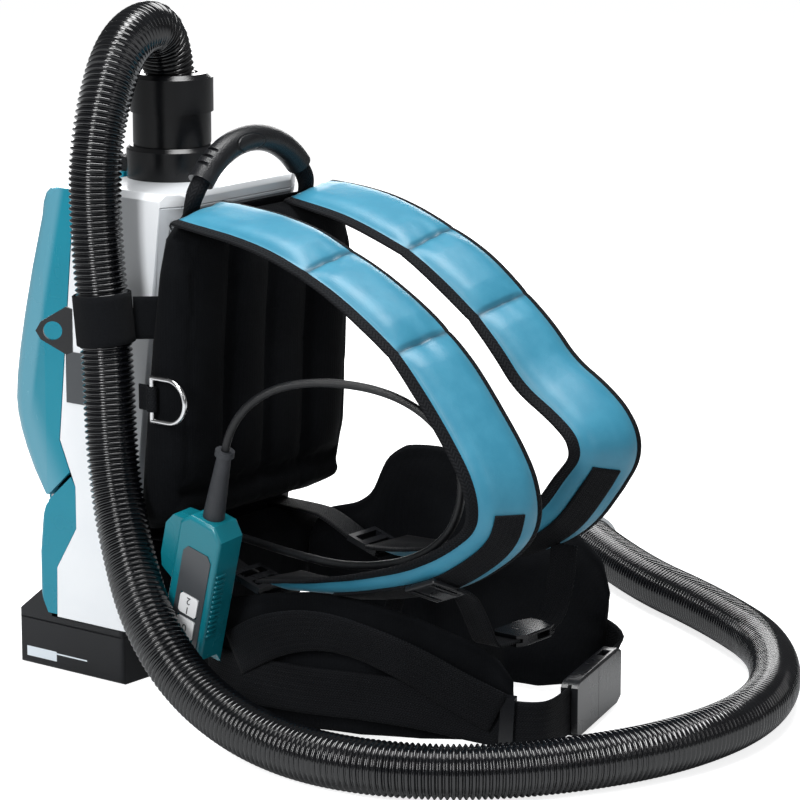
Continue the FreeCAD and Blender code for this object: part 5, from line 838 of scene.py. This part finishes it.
# Each shoulder strap has a webbing sewn along the outside of its lower bend, between two of its points
SEWN_WIDTH, SEWN_THICK, SEWN_LIFT = 0.027, 0.0022, 0.0008
for word, first, last in (("near", 11.5, 16.2), ("far", 10.2, 14.4)):
    strap, outer, across, chords = outer_lines[word]
    rows = np.nonzero((chords > first) & (chords < last))[0][::4]
    ways = directions(outer)
    raised = outer + np.cross(ways, across) * SEWN_LIFT
    if word == "near":
        lock_line, lock_chords = (outer, across), chords
    sewn = tape(f"sewn_{word}", [Vector(raised[row]) for row in rows],
                [tuple(across[row]) for row in rows], SEWN_WIDTH, SEWN_THICK)
    strap = joined(f"padded_strap_{word}", [strap, sewn])
    fixed(strap, f"shoulder_strap_{word}", slot_name="teal_fabric")

# %% [markdown]
# A ladder lock sits on the near strap's sewn webbing, at its lower end. It is a flat plate with two slots,
# so a sheet of three cells, with holes let into two of them, gets its thickness and then eased edges.


# %% Lock on the near strap
LOCK_LONG, LOCK_WIDE, LOCK_RIM, LOCK_THICK, LOCK_CHORD = 0.036, 0.030, 0.0030, 0.0042, 14.2


def ladder_lock(name, centre, along, across, out):
    bpy.ops.mesh.primitive_grid_add(x_subdivisions=2, y_subdivisions=3, size=1.0)
    made = bpy.context.object
    made.name = name
    made.scale = (LOCK_LONG, LOCK_WIDE, 1.0)
    bpy.ops.object.transform_apply(location=False, rotation=False, scale=True)
    bpy.ops.object.mode_set(mode="EDIT")
    bm = bmesh.from_edit_mesh(made.data)
    middle = [edge for edge in bm.edges if all(abs(end.co.x) < 1e-6 for end in edge.verts)]
    bmesh.ops.dissolve_edges(bm, edges=middle)
    bm.faces.ensure_lookup_table()
    for face in bm.faces:
        face.select = abs(face.calc_center_median().y) > 0.005
    bmesh.update_edit_mesh(made.data)
    bpy.ops.mesh.inset(thickness=LOCK_RIM, use_individual=True)
    bpy.ops.mesh.delete(type="FACE")
    bpy.ops.object.mode_set(mode="OBJECT")
    applied(made, "thickness", "SOLIDIFY", thickness=LOCK_THICK, offset=0.0)
    applied(made, "round_off", "BEVEL", width=0.0009, segments=2)
    turned = Matrix((across, along, out)).transposed().to_4x4()
    made.data.transform(Matrix.Translation(centre) @ turned)
    outwards(made)
    made.select_set(False)
    paint(made, "buckle_plastic")
    return fixed(made, slot_name=cad_slots["ladder_locks"], body=BODY_OF["ladder_locks"])


strap_outer, strap_across = lock_line
lock_row = int(np.argmin(np.abs(lock_chords - LOCK_CHORD)))
lock_way = Vector(directions(strap_outer)[lock_row])
lock_across = Vector(strap_across[lock_row])
lock_across = (lock_across - lock_way * lock_across.dot(lock_way)).normalized()
lock_out = lock_across.cross(lock_way).normalized()
lock_out = lock_out if lock_out.z < 0 else -lock_out
lock_place = Vector(strap_outer[lock_row]) + lock_out * LOCK_THICK
ladder_lock("lock_near", lock_place, lock_way, lock_way.cross(lock_out), lock_out)

# %% [markdown]
# The waist belt runs outside both hip pads to the large buckle, and the chest strap hangs between the
# shoulder straps with its clip. On the near side the belt's spare length arches over the pad. The near tape
# enters the buckle's sliding half.

# %% Waist and chest webbing
WAIST_WIDE, LOOSE_WIDE, CHEST_WIDE, TAPE_THICK = 0.038, 0.036, 0.025, 0.002
BELT_WAY = Vector((0.956, 0.292, 0)).normalized()
BELT_START = Vector((0.022, -0.335, 0.026))
belt_near = spots([(-0.0855, -0.062, 0.038), (-0.0946, -0.086, 0.038), (-0.0972, -0.120, 0.038),
                   (-0.0918, -0.167, 0.038), (-0.0806, -0.209, 0.039), (-0.063, -0.256, 0.036),
                   (-0.045, -0.302, 0.028), (-0.030, -0.338, 0.026), BELT_START - BELT_WAY * 0.034,
                   BELT_START + BELT_WAY * 0.008])
UP = (0, 0, 1)
loose = spots([(-0.0960, -0.098, 0.056), (-0.1010, -0.120, 0.070), (-0.1015, -0.150, 0.084),
               (-0.0970, -0.185, 0.091), (-0.0880, -0.220, 0.086), (-0.0730, -0.256, 0.070),
               (-0.0560, -0.288, 0.050), (-0.0430, -0.315, 0.036)])
LOOSE_WAYS = [(0.0, 0.30, 0.95), (-0.1, 0.34, 0.93), (-0.25, 0.10, 0.96), (-0.30, -0.05, 0.95),
              (-0.30, -0.15, 0.94), (-0.20, -0.30, 0.93), (-0.05, -0.32, 0.94), (0.0, -0.25, 0.96)]
belt_parts = [tape("belt_tape_near", belt_near, UP, WAIST_WIDE, TAPE_THICK, wave=0.0006),
              tape("loose_length", loose, LOOSE_WAYS, LOOSE_WIDE, TAPE_THICK, wave=0.0012, seed=8)]
near_belt = joined("belt_tape_near", belt_parts)
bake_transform(near_belt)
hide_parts("waist_webbing_near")
belt_inner = BELT_START + BELT_WAY * 0.108
belt_far = spots([belt_inner, belt_inner + BELT_WAY * 0.007, (0.146, -0.2935, 0.029), (0.1510, -0.284, 0.038),
                  (0.1462, -0.265, 0.046), (0.1428, -0.245, 0.054), (0.1412, -0.215, 0.060)])
FAR_WAYS = [UP, UP, (0.05, 0.0, 0.99), (0.15, 0.0, 0.98), (0.28, 0.0, 0.96), (0.37, 0.0, 0.93),
            (0.38, 0.0, 0.92)]
fixed(tape("belt_tape_far", belt_far, FAR_WAYS, WAIST_WIDE, TAPE_THICK), "waist_webbing_far",
      slot_name="black_webbing")

chest_near = spots([(-0.066, -0.290, 0.1345), (-0.054, -0.290, 0.129), (-0.042, -0.290, 0.112),
                    (-0.032, -0.290, 0.094), (-0.025, -0.290, 0.0825), (-0.018, -0.290, 0.080),
                    (0.003, -0.290, 0.080)])
chest_far = spots([(0.045, -0.290, 0.080), (0.057, -0.290, 0.0815), (0.068, -0.290, 0.096),
                   (0.075, -0.290, 0.118), (0.077, -0.290, 0.140)])
ALONG_Y, ALONG_X = (0, 1, 0), (1, 0, 0)
fixed(joined("chest_tapes", [tape("chest_a", chest_near, ALONG_Y, CHEST_WIDE, TAPE_THICK, wave=0.0004),
                             tape("chest_b", chest_far, ALONG_Y, CHEST_WIDE, TAPE_THICK)]),
      "chest_webbing", slot_name="black_webbing")

LOCK_SPREAD, TAIL_START_Y = 0.073, -0.0006
tails = []
for side in (-1, 1):
    x = side * LOCK_SPREAD
    route = spots([(x, TAIL_START_Y, 0.1315), (x, -0.044, 0.1315), (x, -0.062, 0.1265), (x, -0.088, 0.114),
                   (x, -0.104, 0.109), (x, -0.121, 0.103), (x, -0.129, 0.087), (x, -0.126, 0.065),
                   (x, -0.119, 0.049)])
    tails.append(tape(f"tail_{side}", route, ALONG_X, CHEST_WIDE, TAPE_THICK, wave=0.0008, seed=5 + side))
fixed(joined("strap_tapes", tails), "strap_webbings", slot_name="black_webbing")

# %% [markdown]
# The hip pads stand on edge round the wearer: a soft panel with a binding round it. The same skin as the
# straps makes them, flatter and with equal lips. The far pad leans: its foot stands further in than its top.

# %% Hip pads
# A pad's points: place of its top, heights of its lower and upper edge, and how far the foot stands in
NEAR_PAD = [(-76, -52, 8, 84, 0), (-86, -84, 5, 97, 0), (-89, -120, 5, 107, 0), (-83, -165, 5, 115, 0),
            (-72, -205, 5, 113, 0), (-54, -250, 6, 101, 0), (-36, -290, 8, 84, 0), (-22, -314, 16, 66, 0)]
FAR_PAD = [(78, -31, 40, 122, 0), (94, -40, 28, 129, 0), (108, -57, 20, 131, 0), (116, -68, 18, 140, 0),
           (122, -77, 15, 170, 0), (131, -91, 12, 182, 2), (144, -118, 8, 182, 10), (157, -160, 7, 165, 32),
           (164, -205, 6, 140, 55), (162, -246, 6, 122, 48), (153, -284, 9, 102, 15)]
PAD_THICK, PAD_LIPS = 0.0125, (0.008, 0.008)
for word, route, seed in (("near", NEAR_PAD, 21), ("far", FAR_PAD, 22)):
    corners = spots([(x / 1000, y / 1000, (low + high) / 2000) for x, y, low, high, _ in route])
    centre, where = smooth_line(corners, 0.0035)
    height = along_route(corners, [(high - low) / 1000 for _, _, low, high, _ in route], centre)
    foot = along_route(corners, [inset / 1000 for _, _, _, _, inset in route], centre)
    outward = np.cross(UP, directions(centre))
    outward /= np.linalg.norm(outward, axis=1, keepdims=True)
    centre = centre - outward * foot[:, None] / 2
    upward = np.array(UP, float) * height[:, None] + outward * foot[:, None]
    width = np.linalg.norm(upward, axis=1)
    upward /= width[:, None]
    width = width * np.clip(np.minimum(where, where[-1] - where) / 0.018 + 0.35, 0, 1) ** 0.4
    thick = np.full(len(centre), PAD_THICK)
    pad = padded_strap(f"hip_wing_{word}", centre, where, upward, width, thick, [0.0, where[-1]], seed,
                       PAD_LIPS, crown=1.0, under=0.9, flat=0.55)
    paint(pad, "velour_black", "binding", "mesh_black")
    fixed(pad, f"hip_pad_{word}", slot_name="black_fabric")

# %% [markdown]
# The back pad is foam behind a stretched knit, sewn down along channels so that air can pass. It is taken
# from its CAD solid, given an even mesh, and blown up a little as cloth, while the channels and the back
# are held. The held lines then become real sewn channels, and the knit swells between them.


# %% Blown-up cushions
CLOTH_FRAMES, CLOTH_MASS, CLOTH_STRETCH, CLOTH_BEND = 14, 0.2, 12, 0.4


def normals_of(mesh):
    return np.array([vertex.normal for vertex in mesh.vertices])


def move_points(mesh, places):
    mesh.vertices.foreach_set("co", places.astype(np.float32).ravel())
    mesh.update()


def cushion(name, node, held, puff, voxel, most, finish, reshaped=None):
    """Cloth blown up from a CAD solid; held(place) says which points stay, most caps how far one moves."""
    made = cad[node].copy()
    made.data = cad[node].data.copy()
    for key in [key for key in made.keys() if key.startswith("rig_")]:
        del made[key]
    made.parent, made.name = None, name
    bpy.context.scene.collection.objects.link(made)
    made.data.materials.clear()
    if made.data.has_custom_normals:
        made.data.attributes.remove(made.data.attributes["custom_normal"])
    bpy.ops.object.select_all(action="DESELECT")
    made.select_set(True)
    bpy.context.view_layer.objects.active = made
    bpy.ops.object.mode_set(mode="EDIT")
    bpy.ops.mesh.select_all(action="SELECT")
    bpy.ops.mesh.remove_doubles(threshold=0.00005)
    bpy.ops.object.mode_set(mode="OBJECT")
    applied(made, "even", "REMESH", mode="VOXEL", voxel_size=voxel)
    rest = places_of(made.data)
    if reshaped:
        rest = reshaped(rest, normals_of(made.data))
        move_points(made.data, rest)
    stay = held(rest)
    group = made.vertex_groups.new(name="held")
    group.add(np.nonzero(stay)[0].tolist(), 1.0, "REPLACE")
    cloth = made.modifiers.new("blow", "CLOTH")
    cloth.settings.quality, cloth.settings.mass = 4, CLOTH_MASS
    cloth.settings.tension_stiffness = cloth.settings.compression_stiffness = CLOTH_STRETCH
    cloth.settings.bending_stiffness = CLOTH_BEND
    cloth.settings.use_pressure, cloth.settings.uniform_pressure_force = True, puff
    cloth.settings.vertex_group_mass = "held"
    cloth.settings.effector_weights.gravity = 0.0
    cloth.collision_settings.use_collision = False
    cloth.point_cache.frame_start, cloth.point_cache.frame_end = 1, CLOTH_FRAMES
    for step in range(1, CLOTH_FRAMES + 1):
        bpy.context.scene.frame_set(step)
    bpy.ops.object.modifier_apply(modifier="blow")
    bpy.context.scene.frame_set(1)
    shift = places_of(made.data) - rest
    far = np.linalg.norm(shift, axis=1, keepdims=True)
    shift *= np.minimum(1.0, most / np.maximum(far, 1e-9))
    move_points(made.data, rest + shift)
    print(name, "blown up by", round(float(far.max()) * 1000, 1), "mm at most")
    bpy.ops.object.shade_smooth()
    applied(made, "finer", "SUBSURF", levels=1, render_levels=1)
    made.select_set(False)
    paint(made, finish)
    fixed(made, node, slot_name=cad_slots[node])
    return made


def pressed(piece, lines, width, depth, front):
    """Press upright sewn channels into the front of a cushion: lines are their places along X."""
    places, normals = places_of(piece.data), normals_of(piece.data)
    for line in lines:
        near = np.exp(-((places[:, 0] - line) / width) ** 2) * (normals[:, 1] < front)
        places[:, 1] += near * depth
    move_points(piece.data, places)


# The solid has six shallow lobes, the knit four deeper ones; a roll ends at ROLL_TOP
PAD_MIDDLE, PAD_HALF, PAD_EDGE = MACHINE.x, 0.110, 0.012
SOLID_LOBES, SOLID_CROWN, LOBES, CROWN, ROLL_TOP = 6, 0.0035, 4, 0.0085, 0.176
CHANNEL_WIDE, CHANNEL_DEEP, LUMBAR_TOP, LUMBAR_SAG = 0.0040, 0.0016, 0.084, 0.75
GROOVE_TALL, GROOVE_DEEP = 0.0060, 0.0085
# The frame's front face passes through FRAME_FRONT at the height FRAME_FOOT and leans towards the wearer
FRAME_FRONT, FRAME_FOOT, FRAME_LEAN = MACHINE.y + 0.010, 0.048, 0.122857
lobe = 2 * (PAD_HALF - PAD_EDGE) / LOBES
channels = [PAD_MIDDLE - PAD_HALF + PAD_EDGE + lobe * count for count in range(1, LOBES)]


def pad_back(level):
    """How far forward the frame's front face is at a height."""
    return FRAME_FRONT - (level - FRAME_FOOT) * FRAME_LEAN


def pad_held(rest):
    near_line = np.min(np.abs(rest[:, :1] - np.array(channels)[None]), axis=1) < 0.0035
    return near_line | (rest[:, 1] > pad_back(rest[:, 2]) - 0.006)


def relobed(places, normals):
    """Change the solid's narrow lobes into the knit's four wide ones, with one roll along the foot."""
    narrow = np.interp(places[:, 2], [0.142, 0.156, 0.202, 0.350, 0.378, 0.390],
                       [0.014, 0.002, 0.0, 0.002, 0.008, 0.026])
    reach = PAD_HALF - narrow - PAD_EDGE
    share = np.clip((places[:, 0] - PAD_MIDDLE + reach) / (2 * reach), 0, 1)
    front = np.clip((-normals[:, 1] - 0.25) * 4, 0, 1) * (np.abs(places[:, 0] - PAD_MIDDLE) < reach)
    old = SOLID_CROWN * (2 * ((share * SOLID_LOBES) % 1.0) - 1) ** 2
    wave = np.abs(2 * ((share * LOBES) % 1.0) - 1) ** 2.4
    upper = np.clip((places[:, 2] - ROLL_TOP) / 0.016, 0, 1) * np.clip((0.384 - places[:, 2]) / 0.030, 0, 1)
    groove = np.exp(-((places[:, 2] - ROLL_TOP) / GROOVE_TALL) ** 2) * GROOVE_DEEP
    places[:, 1] += front * (CROWN * wave * upper + groove - old - 0.0015)
    return places


def hung_low(places, normals):
    """Let the foot of the lumbar cushion hang a little below its solid."""
    places[:, 2] -= np.clip(LUMBAR_TOP - places[:, 2], 0, 1) * LUMBAR_SAG
    return places


back_pad = cushion("back_cushion", "back_pad", pad_held, 5.0, 0.0045, 0.005, "velour_black", relobed)
pressed(back_pad, channels, CHANNEL_WIDE, CHANNEL_DEEP, -0.4)
lumbar = cushion("lumbar_cushion", "lumbar_pad", lambda rest: rest[:, 1] > MACHINE.y, 4.0, 0.0045, 0.004,
                 "velour_black", hung_low)
bag = cushion("paper_bag", "dust_bag", lambda rest: rest[:, 2] > 0.36, 3.0, 0.0075, 0.004, "bag_paper")

# %% [markdown]
# The carry handle hangs on a webbing loop inside a braided sleeve: flat where it leaves the frame and
# round where it enters the rubber grip. Its section changes from one to the other on the way.


# %% Handle sleeves
SLEEVE_SIDES, SLEEVE_ROUND = 32, 0.05


def sleeve(side):
    centre, where = smooth_line(spots([(side * 0.070, -0.0349, 0.3915), (side * 0.070, -0.0362, 0.3975),
                                       (side * 0.0692, -0.037, 0.404), (side * 0.0655, -0.037, 0.4115),
                                       (side * 0.0590, -0.037, 0.4188)]), 0.0015)
    ways = directions(centre)
    across = carried_sides(ways, (1, 0, 0))
    deep = np.cross(ways, across)
    share = np.clip(where / where[-1] * 1.6, 0, 1)
    wide, thick = 0.010 - 0.0028 * share, 0.0016 + 0.0056 * share
    rings = tube_rings(centre, across, deep, wide, thick, SLEEVE_SIDES)
    made = skin(f"sleeve_{side}", rings, where, np.linspace(0, SLEEVE_ROUND, SLEEVE_SIDES + 1))
    paint(made, "binding")
    return made


fixed(joined("handle_sleeves", [sleeve(-1), sleeve(1)]), "handle_webbing", slot_name="black_webbing")

# %% [markdown]
# A hook-and-loop strap holds the hose to the frame. It is wound once round the hose with its end lapping
# over itself, and a short tie goes from it to the frame's edge.

# %% Hose strap
STRAP_MIDDLE = Vector((-0.11761, 0.01430, 0.3130)) + MACHINE
strap_way = Vector((0.014, -0.095, -0.995)).normalized()
wrap_side = Vector((1, 0, 0)) - strap_way * strap_way.x
wrap_side.normalize()
wrap_over = strap_way.cross(wrap_side)
TIE_WAY = Vector((0.660, -0.752, 0.0))
wrap = []
for degree in range(-60, 331, 10):
    angle = math.radians(degree)
    reach = 0.0224 + 0.0022 * max(0.0, (degree - 240) / 90)
    wrap.append(STRAP_MIDDLE + wrap_side * math.cos(angle) * reach + wrap_over * math.sin(angle) * reach)
band = tape("band", wrap, tuple(strap_way), 0.040, 0.0019, "loop_black", 0.003)
tie_route = [STRAP_MIDDLE + TIE_WAY * reach for reach in (0.0228, 0.030, 0.0365, 0.0430)]
tie = tape("tie", tie_route, UP, 0.034, 0.002, "loop_black", 0.003)
fixed(joined("hose_wrap", [band, tie]), "hose_strap", slot_name="black_webbing")

# %% [markdown]
# Each D-ring hangs in a short folded tab of the same webbing, sewn to what carries it.

# %% Ring tabs
pad_tab = spots([(-0.1114, -0.016, 0.254), (-0.1114, -0.026, 0.254), (-0.1116, -0.0345, 0.254),
                 (-0.1149, -0.0362, 0.254), (-0.1182, -0.0335, 0.254), (-0.1178, -0.0292, 0.254),
                 (-0.1146, -0.0278, 0.254), (-0.1134, -0.0235, 0.254), (-0.1132, -0.018, 0.254)])
belt_tab = spots([(-0.0720, -0.167, 0.029), (-0.0716, -0.167, 0.018), (-0.065, -0.167, 0.0105),
                  (-0.058, -0.167, 0.0072), (-0.050, -0.167, 0.0082), (-0.0455, -0.167, 0.0088),
                  (-0.0418, -0.167, 0.0050), (-0.0455, -0.167, 0.0014), (-0.050, -0.167, 0.0022),
                  (-0.058, -0.167, 0.0046)])
fixed(joined("ring_tabs", [tape("tab_a", pad_tab, UP, 0.020, 0.0014, step=0.0012),
                           tape("tab_b", belt_tab, ALONG_Y, 0.020, 0.0014, step=0.0015)]),
      "d_ring_tabs", slot_name="black_webbing")

# %% [markdown]
# The remote's keys carry plain digits. Each digit is text that is made a mesh and laid on its key, in the
# key's own directions: along the remote, out of its face, and across it. They are read with the remote in
# the hand, so they stand upside down while it hangs. Its narrow side has a field of fine ribs for the
# fingers, and each rib is a cube that is squeezed and bevelled.

# %% Digits on the keys
REMOTE_UP = Vector((-0.079, -0.281, 0.956)).normalized()
REMOTE_ACROSS = Vector((0.018, -0.960, -0.281)).normalized()
REMOTE_OUT = REMOTE_ACROSS.cross(REMOTE_UP).normalized()


def face_of(node):
    """Middle of a key's outer face."""
    places = places_of(cad[node].data)
    reach = [places @ np.array(way) for way in (REMOTE_ACROSS, REMOTE_UP, REMOTE_OUT)]
    middle = [(values.max() + values.min()) / 2 for values in reach[:2]] + [reach[2].max()]
    return sum((way * value for way, value in zip((REMOTE_ACROSS, REMOTE_UP, REMOTE_OUT), middle)), Vector())


def digit(name, text, node, shift, tall):
    bpy.ops.object.text_add()
    made = bpy.context.object
    made.name = name
    made.data.body, made.data.size, made.data.extrude = text, tall, 0.00012
    made.data.align_x, made.data.align_y = "CENTER", "CENTER"
    turned = Matrix((-REMOTE_ACROSS, -REMOTE_UP, REMOTE_OUT)).transposed().to_4x4()
    bpy.ops.object.convert(target="MESH")
    place = face_of(node) + REMOTE_UP * shift + REMOTE_OUT * 0.00005
    made.data.transform(Matrix.Translation(place) @ turned)
    made.matrix_world = Matrix.Identity(4)
    made.select_set(False)
    paint(made, "ink")
    return fixed(made, slot_name="plate_grey", body=BODY_OF[node])


digit("digit_two", "2", "power_button", 0.0040, 0.0085)
digit("digit_one", "1", "power_button", -0.0044, 0.0085)
digit("digit_zero", "0", "off_button", 0.0, 0.010)


RIB_TALL, RIB_PROUD, RIB_SHARE, RIB_STEP, RIB_FIRST = 0.0024, 0.0030, 0.80, 0.0044, 0.086


def rib_field(count, pitch, first):
    """Ribs across the remote's narrow side, from measured corners of its front half."""
    places = places_of(cad["remote_front"].data)
    side, out = (places @ np.array(way) for way in (REMOTE_ACROSS, REMOTE_OUT))
    outer = side > side.max() - 0.0006
    middle_out = (out[outer].max() + out[outer].min()) / 2
    wide = (out[outer].max() - out[outer].min()) * RIB_SHARE
    turned = Matrix((REMOTE_OUT, REMOTE_UP, REMOTE_OUT.cross(REMOTE_UP))).transposed().to_4x4()
    ribs = []
    for number in range(count):
        bpy.ops.mesh.primitive_cube_add(size=1.0)
        rib = bpy.context.object
        rib.data.transform(Matrix.Diagonal((wide, RIB_TALL, RIB_PROUD, 1.0)))
        applied(rib, "round_off", "BEVEL", width=0.0009, segments=3)
        place = REMOTE_OUT * float(middle_out) + REMOTE_UP * (first + number * pitch) \
            + REMOTE_ACROSS * float(side.max())
        rib.data.transform(Matrix.Translation(place) @ turned)
        ribs.append(rib)
    field = joined("finger_ribs", ribs)
    outwards(field)
    paint(field, "remote_teal")
    print("ribs", count, "width", round(float(wide) * 1000, 1), "mm")
    return fixed(field, slot_name=cad_slots["remote_front"], body=BODY_OF["remote_front"])


rib_field(13, RIB_STEP, RIB_FIRST)

# %% [markdown]
# The light is a plain studio. A tall soft key lamp stands on the near side and a weak one on the harness's
# side. A wide one stands behind the body on the far side and whitens the tops of the straps, and one hangs
# overhead. The floor glows for the camera alone. The world is white to the camera; reflections see a dim
# share of it, and a larger share fills the shadows.

# %% Floor and light
FLOOR_GLOW = 0.80
bpy.ops.mesh.primitive_plane_add(size=14.0, location=(0, 0, -0.0004))
floor = bpy.context.object
floor.name = "floor"
floor.select_set(False)
paper = Finish("floor_paper", (0.62, 0.63, 0.64), 0.9)
seen = paper.node("ShaderNodeLightPath", {}, {}, "Is Camera Ray")
paper.put("Emission Color", (1, 1, 1, 1))
paper.put("Emission Strength", seen * FLOOR_GLOW)
floor.data.materials.append(paper.material)

world = bpy.data.worlds.new("studio")
bpy.context.scene.world = world
world.use_nodes = True
back = world.node_tree.nodes["Background"]
back.inputs["Color"].default_value = (1, 1, 1, 1)
path = world.node_tree.nodes.new("ShaderNodeLightPath")
shares = {"Is Camera Ray": 1.0, "Is Glossy Ray": 0.16, "Is Transmission Ray": 1.0, "Is Diffuse Ray": 0.27}
strength = None
for ray, share in shares.items():
    scaled = world.node_tree.nodes.new("ShaderNodeMath")
    scaled.operation, scaled.inputs[1].default_value = "MULTIPLY", share
    world.node_tree.links.new(path.outputs[ray], scaled.inputs[0])
    if strength is not None:
        most = world.node_tree.nodes.new("ShaderNodeMath")
        most.operation = "MAXIMUM"
        world.node_tree.links.new(strength, most.inputs[0])
        world.node_tree.links.new(scaled.outputs[0], most.inputs[1])
        scaled = most
    strength = scaled.outputs[0]
world.node_tree.links.new(strength, back.inputs["Strength"])


def lamp(name, place, power, wide, tall):
    bpy.ops.object.light_add(type="AREA", location=place)
    made = bpy.context.object
    made.name = name
    made.rotation_euler = (AIM - Vector(place)).to_track_quat("-Z", "Y").to_euler()
    made.data.shape, made.data.size, made.data.size_y, made.data.energy = "RECTANGLE", wide, tall, power
    made.select_set(False)


lamp("key_lamp", (-2.2, -0.2, 1.5), 47.0, 0.6, 1.3)
lamp("side_lamp", (-0.3, -2.4, 1.3), 6.0, 0.5, 1.2)
lamp("back_lamp", (1.9, 1.5, 0.9), 26.0, 1.7, 0.8)
lamp("top_lamp", (0.0, -0.1, 2.2), 56.0, 1.2, 1.2)
bpy.context.scene.view_settings.view_transform = "Standard"
